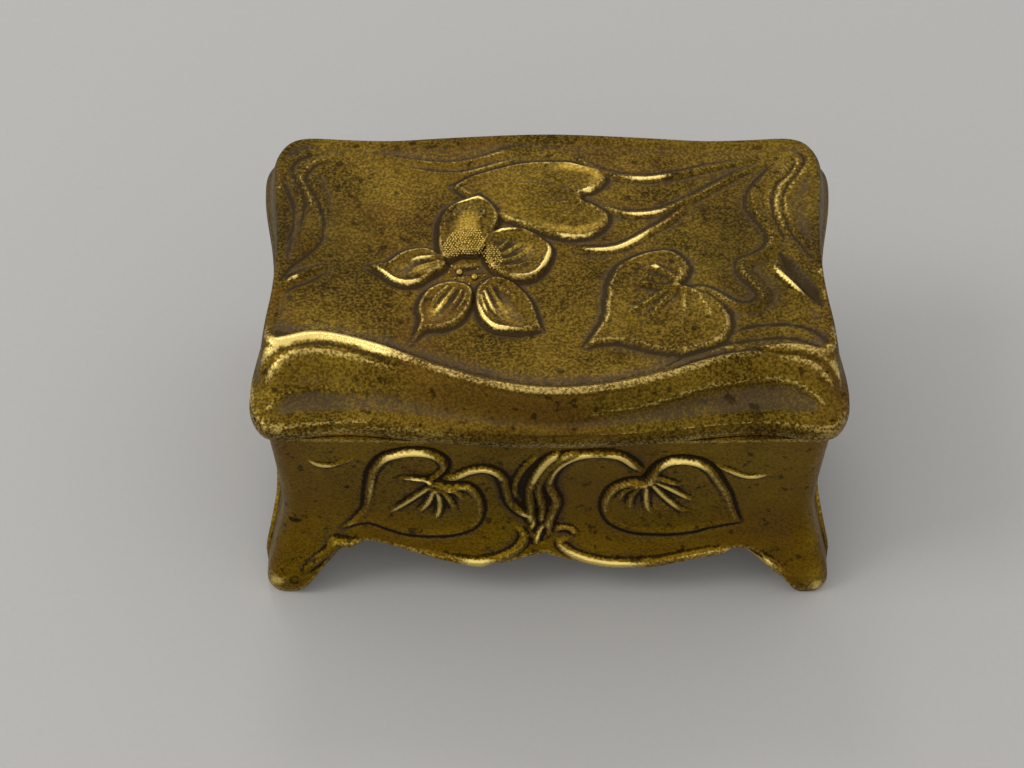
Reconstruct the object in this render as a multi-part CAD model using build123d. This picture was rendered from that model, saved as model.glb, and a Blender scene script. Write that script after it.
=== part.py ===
from build123d import *
import math
import os

# A small cast brass stamp box: a bow-sided body on four flared feet and a hinged lid.
# Lengths are millimetres. X runs along the front from left to right, -Y is the front, Z is up.
# The origin is the centre of the footprint, on the plane that the four toes stand on.

os.makedirs("parts", exist_ok=True)

# Overall sizes
lid_width = 90.0            # over the ears at the four corners
lid_depth = 60.0            # over the bows at the middle of front and back
body_height = 36.0          # from the soles to the joint between body and lid
lid_rise = 10.0             # from that joint to the ridge round the lid's crown
overrun = 1.0               # how far a cutter passes the face that it cuts

# Body casting
ear_overhang = 2.4          # how far the lid's ears stand out past the rim at the sides
bow_overhang = 1.6          # the same for its bows at front and back
front_bow = 0.8             # swell of front and back past their corners
side_bow = 0.3
corner_radius = 2.5
body_wall = 2.0             # at the waist
foot_wall = 2.2             # behind the apron's upper edge
foot_corner = 6.0           # inside corner of the feet, which leaves them thick
foot_flare = 1.9            # how far the toes stand out past the rim
waist_inset = 1.2
# Height share of each level of the wall, with its lean as shares of the flare and of the waist
wall_level_shares = (
    (0, 0.8, 0), (0.04, 1, 0), (0.1, 0.88, 0), (0.18, 0.48, 0), (0.26, 0.13, 0.06),
    (0.34, 0, 0.5), (0.42, 0, 0.9), (0.5, 0, 1), (0.64, 0, 0.84), (0.82, 0, 0.44), (1, 0, 0),
)

# Openings between the feet
foot_setback = 2.6          # from the rim's side in to the inner edge of a foot's sole
arch_height = 11.2          # crown of the highest arch, beside the left foot
side_foot_setback = 3.6     # the same on the short sides
side_arch_height = 9.8
# Apron line from left foot to right foot: shares of the reach and of the arch height
front_arch_shares = (
    (-0.945, 0.2), (-0.885, 0.52), (-0.845, 0.74), (-0.8, 0.88), (-0.71, 1), (-0.575, 0.9),
    (-0.25, 0.63), (-0.08, 0.76), (-0.01, 0.82), (0.045, 0.75), (0.285, 0.56), (0.59, 0.77),
    (0.745, 0.87), (0.82, 0.79), (0.875, 0.56), (0.935, 0.3), (0.975, 0.1),
)
side_arch_shares = (
    (-0.92, 0.3), (-0.82, 0.76), (-0.68, 1), (-0.33, 0.83), (0, 0.66),
    (0.33, 0.83), (0.68, 1), (0.82, 0.76), (0.92, 0.3),
)

# Ledge inside the body, floor plate under it and screws
ledge_level = 12.8          # underside of the ledge
ledge_thickness = 2.5
ledge_width = 3.0
plate_thickness = 1.2
plate_clearance = 0.3
screw_diameter = 1.4
screw_clearance = 0.1
screw_engagement = 1.7
screw_head_diameter = 2.6
screw_head_height = 0.8
screw_slot_width = 0.35
screw_slot_depth = 0.35
screw_inset = 2.9           # in from the tray's corner, each way
thread_gap = 0.03           # radial, in the threaded hole
thread_depth = 2.0

# Stamp tray
tray_sheet = 0.6
tray_clearance = 0.3
tray_below_rim = 2.0
scoop_radius = 9.0          # curve of the well floors, front and back
solder_gap = 0.03

# Lid casting
lid_gap = 0.15              # between the closed lid and the rim
lid_wall = 1.8
lip_height = 3.0
lip_land = 2.2              # width of the lip's lower face
lip_rounding = 0.35
lip_step = 0.3
field_sink = 0.6            # how far the field lies under the ridge round it
ridge_width = 1.6           # from the ridge in to the field
ridge_easings = 2           # how often the ridge line is eased at its corners
hollow_easings = 4          # the same for the hollow under it

# Hinge at the back
knuckle_count = 5
knuckle_length = 4.0
knuckle_gap = 0.15
knuckle_radius = 1.25
pin_radius = 0.5
pin_fit = 0.02              # radial, in the knuckles on the body
pin_play = 0.05             # radial, in the knuckles on the lid
hinge_clearance = 0.15      # round a knuckle that turns past the other casting
hinge_offset = 0.05         # from the back of the rim out to the axis

# One quarter of the lid's outline, from the middle of a side to the middle of the front,
# as shares of half the width and half the depth
outline_shares = (
    (0.947, 0), (0.961, 0.3), (0.999, 0.7), (0.987, 0.853), (0.942, 0.94), (0.873, 0.953),
    (0.789, 0.933), (0.69, 0.92), (0.45, 0.955), (0.2, 0.993), (0, 1),
)
# The ridge round the crown, with a point for each point of the outline
ridge_front_left_shares = (
    (0.911, 0), (0.933, 0.25), (0.953, 0.517), (0.94, 0.587), (0.902, 0.587), (0.844, 0.53),
    (0.773, 0.493), (0.68, 0.51), (0.45, 0.7), (0.2, 0.89), (0, 0.94),
)
ridge_front_right_shares = (
    (0.911, 0), (0.933, 0.25), (0.957, 0.56), (0.945, 0.64), (0.907, 0.65), (0.853, 0.607),
    (0.778, 0.58), (0.684, 0.603), (0.45, 0.755), (0.2, 0.905), (0, 0.94),
)
ridge_back_shares = (
    (0.911, 0), (0.918, 0.27), (0.96, 0.633), (0.953, 0.773), (0.916, 0.86), (0.853, 0.883),
    (0.778, 0.873), (0.689, 0.833), (0.45, 0.837), (0.2, 0.893), (0, 0.917),
)
# Slope from the lip's top edge up to the ridge: share of the way in, share of the way up
slope_shares = ((0.18, 0.11), (0.4, 0.2), (0.56, 0.48), (0.72, 0.79), (0.86, 0.94), (1, 1))
hollow_shares = ((0.3, 0.2), (0.64, 0.62), (1, 1))

# Main forms of the cast relief, with straight-sided outlines to keep their faces few.
# On the lid the corners are shares of half its width and half its depth
relief_root = 0.3           # how far a raised form reaches down into the lid
leaf_relief = 0.35
petal_relief = 0.45
crown_petal_relief = 0.55
body_relief = 0.4
relief_level_shares = (0.34, 0.5, 1)    # levels of the body that its raised forms follow
lid_leaf_outlines = (
    (
        (-0.319, 0.514), (-0.136, 0.666), (0.077, 0.686), (0.168, 0.659), (0.196, 0.563), (0.171, 0.482),
        (0.112, 0.422), (0.188, 0.373), (0.205, 0.272), (0.161, 0.143), (0.058, 0.14), (-0.131, 0.236),
    ),
    (
        (0.13, -0.586), (0.193, -0.384), (0.204, -0.178), (0.262, -0.003), (0.365, 0.049), (0.453, 0.001),
        (0.44, -0.183), (0.569, -0.273), (0.599, -0.462), (0.563, -0.589), (0.457, -0.632), (0.292, -0.603),
    ),
)
petal_outlines = (
    (
        (-0.605, -0.065), (-0.49, 0.039), (-0.356, -0.011),
        (-0.35, -0.073), (-0.374, -0.13), (-0.481, -0.187),
    ),
    (
        (-0.448, -0.533), (-0.44, -0.344), (-0.4, -0.179), (-0.337, -0.15),
        (-0.261, -0.224), (-0.265, -0.347), (-0.3, -0.449), (-0.373, -0.481),
    ),
    (
        (-0.238, -0.202), (-0.24, -0.346), (-0.2, -0.467), (-0.14, -0.496),
        (-0.053, -0.504), (-0.065, -0.329), (-0.116, -0.227), (-0.178, -0.146),
    ),
    (
        (-0.206, -0.063), (-0.221, 0.035), (-0.195, 0.106), (-0.124, 0.214),
        (-0.038, 0.159), (0.014, 0.012), (-0.029, -0.128), (-0.117, -0.165),
    ),
)
crown_petal_outline = (
    (-0.349, -0.017), (-0.388, 0.158), (-0.356, 0.295), (-0.276, 0.435),
    (-0.191, 0.35), (-0.162, 0.178), (-0.234, -0.008), (-0.291, -0.037),
)
# On the front of the body, and mirrored on its back, of the rim's half width and the height
body_outlines = (
    (
        (-0.729, 0.433), (-0.663, 0.57), (-0.643, 0.76), (-0.596, 0.912), (-0.476, 0.941), (-0.368, 0.892),
        (-0.398, 0.746), (-0.267, 0.719), (-0.24, 0.543), (-0.284, 0.398), (-0.397, 0.37), (-0.575, 0.391),
    ),
    (
        (0.685, 0.467), (0.648, 0.645), (0.584, 0.8), (0.512, 0.899), (0.425, 0.885), (0.363, 0.846),
        (0.341, 0.746), (0.224, 0.706), (0.195, 0.557), (0.246, 0.405), (0.37, 0.384), (0.534, 0.377),
    ),
    (
        (-0.118, 0.912), (0.03, 0.96), (0.177, 0.925), (0.04, 0.76),
        (0.0, 0.36), (-0.03, 0.345), (-0.066, 0.37), (-0.075, 0.62),
    ),
)

# Sizes that follow
rim_half_x = lid_width / 2 - ear_overhang
rim_half_y = lid_depth / 2 - bow_overhang
foot_reach = rim_half_x - foot_setback
side_foot_reach = rim_half_y - side_foot_setback
ledge_top = ledge_level + ledge_thickness
plate_bottom = ledge_level - plate_thickness
tray_half_x = rim_half_x - side_bow - waist_inset - body_wall - tray_clearance
tray_half_y = rim_half_y - front_bow - waist_inset - body_wall - tray_clearance
well_width = (2 * tray_half_x - 4 * tray_sheet) / 3
screw_x = tray_half_x - screw_inset
screw_y = tray_half_y - screw_inset
tray_height = body_height - tray_below_rim - ledge_top
pitch = knuckle_length + knuckle_gap
barrel_length = knuckle_count * pitch - knuckle_gap
hinge_y = rim_half_y + hinge_offset
lid_base = body_height + lid_gap
field_level = body_height + lid_rise - field_sink


def wall_lean(level):
    """How far the body's wall stands out past the rim at a level."""
    share = level / body_height
    for low, high in zip(wall_level_shares, wall_level_shares[1:]):
        if share <= high[0]:
            break
    part = (share - low[0]) / (high[0] - low[0])
    flare = low[1] + part * (high[1] - low[1])
    waist = low[2] + part * (high[2] - low[2])
    return flare * foot_flare - waist * waist_inset


def bowed_section(level, lean, inset, corner):
    """Level section of the body: four bowed sides with rounded corners."""
    x = rim_half_x + lean - inset
    y = rim_half_y + lean - inset
    corner_x = x - side_bow
    corner_y = y - front_bow
    sides = [
        ThreePointArc((corner_x, -corner_y), (x, 0), (corner_x, corner_y)),
        ThreePointArc((corner_x, corner_y), (0, y), (-corner_x, corner_y)),
        ThreePointArc((-corner_x, corner_y), (-x, 0), (-corner_x, -corner_y)),
        ThreePointArc((-corner_x, -corner_y), (0, -y), (corner_x, -corner_y)),
    ]
    face = make_face(sides)
    return Pos(0, 0, level) * fillet(face.vertices(), corner)


def body_block(shares, proud):
    """Solid through level sections of the body, or proud of its outer face."""
    levels = [share * body_height for share in shares]
    return loft([bowed_section(z, wall_lean(z) + proud, 0, corner_radius) for z in levels], ruled=True)


def core(low, high, lean, inset, corner):
    """Upright core of one of the body's two hollows, between two levels."""
    return extrude(bowed_section(low, lean, inset, corner), amount=high - low)


def arch_cutter(plane, reach, height, shares, through):
    """Prism that leaves the apron line and the inner edges of two feet."""
    line = [(-reach, 0)] + [(x * reach, z * height) for x, z in shares] + [(reach, 0)]
    curve = Spline(*line)
    drop = [(reach, 0), (reach, -overrun), (-reach, -overrun), (-reach, 0)]
    profile = make_face([curve, Polyline(*drop)])
    return extrude(plane * profile, amount=through, both=True)


def quarter_points(shares, sign_x, sign_y):
    """Points of one quarter in the order of its table."""
    return [
        (sign_x * x * lid_width / 2, sign_y * y * lid_depth / 2)
        for x, y in shares
    ]


def closed_ring(back_right, back_left, front_left, front_right):
    """Counter-clockwise ring of points from four quarter tables."""
    ring = quarter_points(back_right, 1, 1)
    ring += quarter_points(back_left, -1, 1)[-2::-1]
    ring += quarter_points(front_left, -1, -1)[1:]
    ring += quarter_points(front_right, 1, -1)[-2:0:-1]
    return ring


def run_shares(ring):
    """Share of the way round the ring at each point, with 1 at the end."""
    steps = [math.dist(a, b) for a, b in zip(ring, ring[1:] + ring[:1])]
    shares = [0.0]
    for step in steps:
        shares.append(shares[-1] + step / sum(steps))
    shares[-1] = 1.0
    return shares


def set_in(ring, inset):
    """Ring moved inwards, square to the chord between each point's neighbours."""
    moved = []
    for before, point, after in zip(ring[-1:] + ring[:-1], ring, ring[1:] + ring[:1]):
        run_x = after[0] - before[0]
        run_y = after[1] - before[1]
        run = math.hypot(run_x, run_y)
        moved.append((point[0] - inset * run_y / run, point[1] + inset * run_x / run))
    return moved


outline_ring = closed_ring(outline_shares, outline_shares, outline_shares, outline_shares)
ridge_ring = closed_ring(
    ridge_back_shares, ridge_back_shares, ridge_front_left_shares, ridge_front_right_shares
)
ring_shares = run_shares(outline_ring)


def ring_face(ring, level):
    """Flat face inside a smooth closed line through the ring's points."""
    points = [(x, y, level) for x, y in ring]
    return make_face(Edge.make_spline(points, periodic=True, parameters=ring_shares))


def eased(ring):
    """Ring with each point drawn half way to the middle of its neighbours."""
    return [
        ((before[0] + 2 * x + after[0]) / 4, (before[1] + 2 * y + after[1]) / 4)
        for before, (x, y), after in zip(ring[-1:] + ring[:-1], ring, ring[1:] + ring[:1])
    ]


def lid_ring(way_in, inset, easings=ridge_easings):
    """Ring between the outline and the eased ridge, set in by a distance."""
    ridge = ridge_ring
    for easing in range(easings):
        ridge = eased(ridge)
    ring = [
        (x + way_in * (ridge_x - x), y + way_in * (ridge_y - y))
        for (x, y), (ridge_x, ridge_y) in zip(outline_ring, ridge)
    ]
    return set_in(ring, inset)


def slope_faces(shares, inset, drop, easings):
    """Faces from the lip's top edge up to the ridge."""
    faces = []
    for way_in, way_up in shares:
        level = body_height + lip_height + way_up * (lid_rise - lip_height)
        faces.append(ring_face(lid_ring(way_in, inset, easings), level - drop))
    return faces


def closed_stack(*ring_stacks):
    """One solid from stacks of level faces, each of which starts where the last one ends."""
    faces = [ring_stacks[0][0], ring_stacks[-1][-1]]
    for stack in ring_stacks:
        block = loft(stack, ruled=True)
        faces += [face for face in block.faces() if face.geom_type != GeomType.PLANE]
    return Solid(Shell(faces))


def lid_shell():
    """Hollow lid: a serpentine lip, a scooped slope and a flat field inside a ridge."""
    lip_top = ring_face(lid_ring(0, lip_step), body_height + lip_height)
    lip = [
        ring_face(lid_ring(0, lip_rounding), lid_base),
        ring_face(lid_ring(0, 0), body_height + lip_height / 2),
        lip_top,
    ]
    slope = [lip_top] + slope_faces(slope_shares, 0, 0, ridge_easings)
    field = ring_face(lid_ring(1, ridge_width, hollow_easings), field_level)
    solid = closed_stack(lip, slope, [slope[-1], field])
    mouth = [
        ring_face(lid_ring(0, lip_land), lid_base - overrun),
        ring_face(lid_ring(0, lip_land), lid_base),
    ]
    drop = lid_wall + field_sink
    hollow = mouth[-1:] + slope_faces(hollow_shares, lid_wall, drop, hollow_easings)
    return solid - closed_stack(mouth, hollow)


def along_hinge(radius, length, centre):
    """Cylinder on the hinge axis."""
    axis_place = Pos(centre, hinge_y, body_height) * Rot(0, 90, 0)
    return axis_place * Cylinder(radius, length)


def knuckle_centre(index):
    """Middle of a knuckle along the axis, counted from the left."""
    return (index - (knuckle_count - 1) / 2) * pitch


def hinge_room(carried):
    """Room for the barrel in a casting that carries the knuckles with these numbers."""
    cutters = []
    for index in range(knuckle_count):
        gap = solder_gap if index in carried else hinge_clearance
        length = knuckle_length + 2 * knuckle_gap if index in carried else pitch + knuckle_gap
        cutters.append(along_hinge(knuckle_radius + gap, length, knuckle_centre(index)))
    return cutters


def knuckle(index, play):
    """Short tube of the hinge, bored for the pin."""
    centre = knuckle_centre(index)
    bore = along_hinge(pin_radius + play, knuckle_length + overrun, centre)
    return along_hinge(knuckle_radius, knuckle_length, centre) - bore


def corner_places():
    """Places of the four screws, seen from below."""
    return [(x, y) for x in (-screw_x, screw_x) for y in (-screw_y, screw_y)]


def upright(radius, low, high, place):
    """Vertical cylinder between two levels."""
    return Pos(place[0], place[1], (low + high) / 2) * Cylinder(radius, high - low)


def outline_face(shares, size_x, size_y):
    """Face inside straight runs between corners that are given as shares of two sizes."""
    return make_face(Polyline(*[(x * size_x, y * size_y) for x, y in shares], close=True))


def raised_on_lid(shares, relief):
    """Raised form on the lid's field."""
    face = Pos(0, 0, field_level - relief_root) * outline_face(shares, lid_width / 2, lid_depth / 2)
    return extrude(face, amount=relief_root + relief)


def raised_on_body(shares):
    """Raised form on the front wall, rooted half way through it."""
    root = Plane.XZ.offset(rim_half_y - waist_inset - body_wall / 2)
    prism = extrude(root * outline_face(shares, rim_half_x, body_height), amount=lid_depth / 2)
    return body_block(relief_level_shares, body_relief) & prism


def body_casting():
    """Cast body: a bowed tube with a ledge, arched between four flared feet."""
    solid = body_block([row[0] for row in wall_level_shares], 0)
    for shares in body_outlines:
        form = raised_on_body(shares)
        solid += form
        solid += mirror(form, about=Plane.XZ)
    solid -= core(
        ledge_top, body_height + overrun, -waist_inset, body_wall, corner_radius - body_wall
    )
    solid -= core(-overrun, ledge_level, recess_lean, foot_wall, foot_corner)
    hole_x = 2 * (tray_half_x - ledge_width)
    hole_y = 2 * (tray_half_y - ledge_width)
    hole = Pos(0, 0, ledge_level - overrun) * RectangleRounded(hole_x, hole_y, foot_corner)
    solid -= extrude(hole, amount=ledge_thickness + 2 * overrun)
    solid -= arch_cutter(Plane.XZ, foot_reach, arch_height, front_arch_shares, lid_depth)
    solid -= arch_cutter(Plane.YZ, side_foot_reach, side_arch_height, side_arch_shares, lid_width)
    for place in corner_places():
        thread = upright(
            screw_diameter / 2 + thread_gap, ledge_level - overrun, ledge_level + thread_depth, place
        )
        solid -= thread
    for cutter in hinge_room(body_knuckles):
        solid -= cutter
    return solid


def floor_plate():
    """Plate under the ledge, with clearance holes for its screws."""
    face = bowed_section(
        plate_bottom, recess_lean, foot_wall + plate_clearance, foot_corner - plate_clearance
    )
    plate = extrude(face, amount=plate_thickness)
    hole_radius = screw_diameter / 2 + screw_clearance
    for place in corner_places():
        plate -= upright(hole_radius, plate_bottom - overrun, ledge_level + overrun, place)
    return plate


def floor_screw(place):
    """Slotted screw with its head under the floor plate."""
    head_bottom = plate_bottom - screw_head_height
    screw = upright(screw_head_diameter / 2, head_bottom, plate_bottom, place)
    screw += upright(screw_diameter / 2, head_bottom, ledge_level + screw_engagement, place)
    slot = Pos(place[0], place[1], head_bottom) * Box(
        screw_head_diameter + overrun, screw_slot_width, 2 * screw_slot_depth
    )
    return screw - slot


def tray_section(inset):
    """Cross section of the tray: open top and a floor curved up at front and back."""
    y = tray_half_y - inset
    low = ledge_top + inset
    high = ledge_top + tray_height
    centre = (0, (low + high) / 2)
    face = Pos(*centre) * Rectangle(2 * y, high - low)
    lower_corners = face.vertices().sort_by(Axis.Y)[:2]
    return Plane.YZ * fillet(lower_corners, scoop_radius - inset)


def tray_pan():
    """Bent sheet that makes the floor, front and back of all three wells."""
    outside = extrude(tray_section(0), amount=tray_half_x, both=True)
    inside = extrude(tray_section(tray_sheet), amount=tray_half_x + overrun, both=True)
    return outside - inside


def cross_wall(centre):
    """Upright sheet across the tray."""
    face = Pos(centre, 0, 0) * tray_section(tray_sheet + solder_gap)
    return extrude(face, amount=tray_sheet / 2, both=True)


def lid_casting():
    """Lid with its leaves and flower, and a notch over the hinge barrel."""
    lid = lid_shell()
    for shares in lid_leaf_outlines:
        lid += raised_on_lid(shares, leaf_relief)
    for shares in petal_outlines:
        lid += raised_on_lid(shares, petal_relief)
    lid += raised_on_lid(crown_petal_outline, crown_petal_relief)
    for cutter in hinge_room(lid_knuckles):
        lid -= cutter
    notch_length = barrel_length + 2 * knuckle_gap
    notch = Pos(0, hinge_y + lid_wall, body_height) * Box(
        notch_length, 2 * lid_wall, 2 * knuckle_radius
    )
    return lid - notch


recess_lean = wall_lean(ledge_level)
lid_knuckles = range(1, knuckle_count, 2)
body_knuckles = range(0, knuckle_count, 2)
knuckle_places = ("left", "centre", "right")
end_centre = tray_half_x - tray_sheet / 2
divider_centre = (well_width + tray_sheet) / 2

export_step(body_casting(), "parts/body_casting.step")
export_step(floor_plate(), "parts/floor_plate.step")
screws = [floor_screw(place) for place in corner_places()]
export_step(Compound(children=screws), "parts/floor_screws.step")
export_step(tray_pan(), "parts/tray_pan.step")
export_step(cross_wall(-end_centre), "parts/tray_end_left.step")
export_step(cross_wall(end_centre), "parts/tray_end_right.step")
export_step(cross_wall(-divider_centre), "parts/tray_divider_left.step")
export_step(cross_wall(divider_centre), "parts/tray_divider_right.step")
for index, place in zip(body_knuckles, knuckle_places):
    export_step(knuckle(index, pin_fit), f"parts/hinge_knuckle_body_{place}.step")
for index, place in zip(lid_knuckles, knuckle_places[::2]):
    export_step(knuckle(index, pin_play), f"parts/hinge_knuckle_lid_{place}.step")
export_step(along_hinge(pin_radius, barrel_length, 0), "parts/hinge_pin.step")
export_step(lid_casting(), "parts/lid_casting.step")
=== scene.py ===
import math
import bpy
import numpy as np
from mathutils import Matrix, Vector
from mathutils.bvhtree import BVHTree


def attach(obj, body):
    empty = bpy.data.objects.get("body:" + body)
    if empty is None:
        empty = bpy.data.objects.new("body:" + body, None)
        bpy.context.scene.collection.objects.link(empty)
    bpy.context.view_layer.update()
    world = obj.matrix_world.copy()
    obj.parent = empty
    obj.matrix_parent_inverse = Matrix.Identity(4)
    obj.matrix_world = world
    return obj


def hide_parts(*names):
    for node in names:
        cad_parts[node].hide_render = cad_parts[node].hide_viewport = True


# An antique gilt brass stamp box: plain solids from the frame, with the cast relief and finish added here.
# Lengths in the tables are millimetres, and pixels are those of the 1024 x 768 photograph.

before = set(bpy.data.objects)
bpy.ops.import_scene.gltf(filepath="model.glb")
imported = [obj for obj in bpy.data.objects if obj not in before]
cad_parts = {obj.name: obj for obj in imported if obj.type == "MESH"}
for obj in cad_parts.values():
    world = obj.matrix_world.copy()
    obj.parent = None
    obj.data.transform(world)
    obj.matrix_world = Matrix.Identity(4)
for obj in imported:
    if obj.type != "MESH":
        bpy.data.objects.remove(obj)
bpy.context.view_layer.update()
mm = 0.001
seed = 7


# Camera, as it stood when the photograph was taken

photoCamera = {
    "elevation": 49.16, "focal": 2864.0, "distance": 455.1, "target": (-5.61, -3.16, 20.0),
    "imageWidth": 1024.0, "imageHeight": 768.0, "sensor": 36.0, "clip": (0.02, 20.0),
}
lidPlay = {"turn": -0.9, "shift": (-0.45, 0.66), "about": (0.0, 28.0)}  # how the worn hinge lets the lid lie


def cameraFrame():
    tilt = math.radians(photoCamera["elevation"])
    back = np.array([0.0, -math.cos(tilt), math.sin(tilt)])
    right = np.array([1.0, 0.0, 0.0])
    up = np.cross(back, right)
    place = np.array(photoCamera["target"]) + back * photoCamera["distance"]
    return place, right, up, back


def pixelRay(u, v):
    place, right, up, back = cameraFrame()
    across = u - photoCamera["imageWidth"] / 2
    above = photoCamera["imageHeight"] / 2 - v
    way = right * across + up * above - back * photoCamera["focal"]
    return place, way / np.linalg.norm(way)


def withoutPlay(place, way):  # the ray as the squared-up lid sees it
    turn = Matrix.Rotation(-math.radians(lidPlay["turn"]), 3, "Z")
    about = Vector((*lidPlay["about"], 0))
    shift = Vector((*lidPlay["shift"], 0))
    return turn @ (Vector(place) - shift - about) + about, turn @ Vector(way)


def makeCamera():
    place, right, up, back = cameraFrame()
    data = bpy.data.cameras.new("photoCamera")
    data.sensor_width = photoCamera["sensor"]
    data.lens = photoCamera["focal"] * photoCamera["sensor"] / photoCamera["imageWidth"]
    data.clip_start, data.clip_end = photoCamera["clip"]
    camera = bpy.data.objects.new("photoCamera", data)
    camera.matrix_world = Matrix((
        (right[0], up[0], back[0], place[0] * mm),
        (right[1], up[1], back[1], place[1] * mm),
        (right[2], up[2], back[2], place[2] * mm),
        (0, 0, 0, 1),
    ))
    bpy.context.scene.collection.objects.link(camera)
    bpy.context.scene.camera = camera


makeCamera()
print("camera set")


# Curves and meshes

tiny = 1e-3
far = 1e9
lineSpacing = 0.15  # between the points of a smoothed line
blurKeep = 0.4  # what a value keeps of itself in each round of blurring


def smoothLine(points, spacing=lineSpacing, closed=False):  # Catmull-Rom line through the points
    points = np.array(points, float)
    if closed:
        ends = np.vstack([points[-1], points, points[0], points[1]])
    else:
        ends = np.vstack([2 * points[0] - points[1], points, 2 * points[-1] - points[-2]])
    line = []
    for a, b, c, d in zip(ends, ends[1:], ends[2:], ends[3:]):
        steps = max(2, int(np.linalg.norm(c - b) / spacing))
        for t in np.arange(steps) / steps:
            line.append(0.5 * (
                2 * b + (c - a) * t + (2 * a - 5 * b + 4 * c - d) * t ** 2 + (3 * b - a - 3 * c + d) * t ** 3
            ))
    if not closed:
        line.append(points[-1])
    return np.array(line)


def periodicSpline(ring, knots, samples):  # the smooth closed curve that the castings' rings follow
    ring = np.array(ring, float)
    count = len(ring)
    step = np.diff(knots)
    system = np.zeros((count, count))
    pull = np.zeros((count, ring.shape[1]))
    for i in range(count):
        before, after = step[i - 1], step[i]
        system[i, i - 1] += before
        system[i, i] += 2 * (before + after)
        system[i, (i + 1) % count] += after
        pull[i] = 6 * ((ring[(i + 1) % count] - ring[i]) / after - (ring[i] - ring[i - 1]) / before)
    bend = np.linalg.solve(system, pull)
    samples = np.mod(samples, 1.0)
    span = np.clip(np.searchsorted(knots, samples, side="right") - 1, 0, count - 1)
    following = (span + 1) % count
    length = step[span][:, None]
    left = (samples - np.array(knots)[span])[:, None]
    right = length - left
    return (
        bend[span] * right ** 3 / (6 * length) + bend[following] * left ** 3 / (6 * length)
        + (ring[span] / length - bend[span] * length / 6) * right
        + (ring[following] / length - bend[following] * length / 6) * left
    )


def eased(share):  # 0 to 1 without a kink at either end
    share = np.clip(share, 0, 1)
    return share * share * (3 - 2 * share)


def swelling(along, ends):  # grows from one end of a line and dies away towards the other
    return eased(along / max(ends[0], tiny)) * eased((1 - along) / max(ends[1], tiny))


def gapsTo(line, points, atOnce=2000):  # from each point to the nearest one of a line
    gaps = np.zeros(len(points))
    for start in range(0, len(points), atOnce):
        part = points[start:start + atOnce]
        gaps[start:start + atOnce] = np.linalg.norm(part[:, None] - line[None], axis=2).min(axis=1)
    return gaps


def insideOf(border, flat):  # which flat points lie inside a closed line
    inside = np.zeros(len(flat), bool)
    for (ax, ay), (bx, by) in zip(border, np.roll(border, -1, axis=0)):
        if ay == by:
            continue
        crosses = (ay > flat[:, 1]) != (by > flat[:, 1])
        inside ^= crosses & (flat[:, 0] < (bx - ax) * (flat[:, 1] - ay) / (by - ay) + ax)
    return inside


def plainFaces(faces):
    return [list(map(int, face)) for face in faces]


def makeMesh(name, points, faces):
    mesh = bpy.data.meshes.new(name)
    mesh.from_pydata((np.array(points) * mm).tolist(), [], plainFaces(faces))
    mesh.polygons.foreach_set("use_smooth", [True] * len(mesh.polygons))
    mesh.update()
    piece = bpy.data.objects.new(name, mesh)
    bpy.context.scene.collection.objects.link(piece)
    return piece


def meshNormals(points, faces):
    mesh = bpy.data.meshes.new("forNormals")
    mesh.from_pydata(np.array(points).tolist(), [], plainFaces(faces))
    mesh.update()
    normals = np.zeros(len(points) * 3)
    mesh.vertex_normals.foreach_get("vector", normals)
    bpy.data.meshes.remove(mesh)
    return normals.reshape(-1, 3)


def blurred(values, edges, rounds):  # each value drawn towards the mean of its neighbours
    values = np.array(values, float)
    count = len(values)
    both = np.concatenate([edges[:, 0], edges[:, 1]]), np.concatenate([edges[:, 1], edges[:, 0]])
    share = 1 / np.maximum(np.bincount(both[0], minlength=count), 1)
    for _ in range(rounds):
        mean = np.stack([
            np.bincount(both[0], weights=values[both[1], axis], minlength=count) * share
            for axis in range(values.shape[1])
        ], axis=1)
        values = blurKeep * values + (1 - blurKeep) * mean
    return values


def readMark(piece, name):
    values = np.zeros(len(piece.data.vertices), np.float32)
    if name in piece.data.attributes:
        piece.data.attributes[name].data.foreach_get("value", values)
    return values


def writeMark(piece, name, values):
    marks = piece.data.attributes
    mark = marks[name] if name in marks else marks.new(name, "FLOAT", "POINT")
    mark.data.foreach_set("value", values.astype(np.float32))


def markWear(piece, marks):  # how far each point stands above or below its surroundings
    mesh = piece.data
    points = np.zeros(len(mesh.vertices) * 3)
    normals = np.zeros(len(mesh.vertices) * 3)
    edges = np.zeros(len(mesh.edges) * 2, int)
    mesh.vertices.foreach_get("co", points)
    mesh.vertex_normals.foreach_get("vector", normals)
    mesh.edges.foreach_get("vertices", edges)
    points, normals, edges = points.reshape(-1, 3) / mm, normals.reshape(-1, 3), edges.reshape(-1, 2)
    around, done = points, 0
    for rounds, names in marks.items():
        around = blurred(around, edges, rounds - done)
        done = rounds
        above = ((points - around) * normals).sum(axis=1)
        for name, depth in names.items():
            writeMark(piece, name, np.clip(above / depth, 0, 1))


# Relief: rolls, grooves and leaf pads that are laid on a panel

reliefShape = {
    "endWidth": 0.35, "endHeight": 0.25, "endRise": 8, "crisp": 0.8,  # a roll, and what it keeps at its ends
    "foldPower": 1.3, "foldDrop": 0.3,  # a fold's soft side and its sharp one
    "padReach": 1.5, "padEdge": 0.35, "moat": 0.45, "rimLow": 1.0, "rimGain": 1.3, "rimStart": 0.15,  # pads
    "veinWide": 0.36, "veinHigh": 0.3, "veinEnds": (0.1, 0.6),
}


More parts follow.
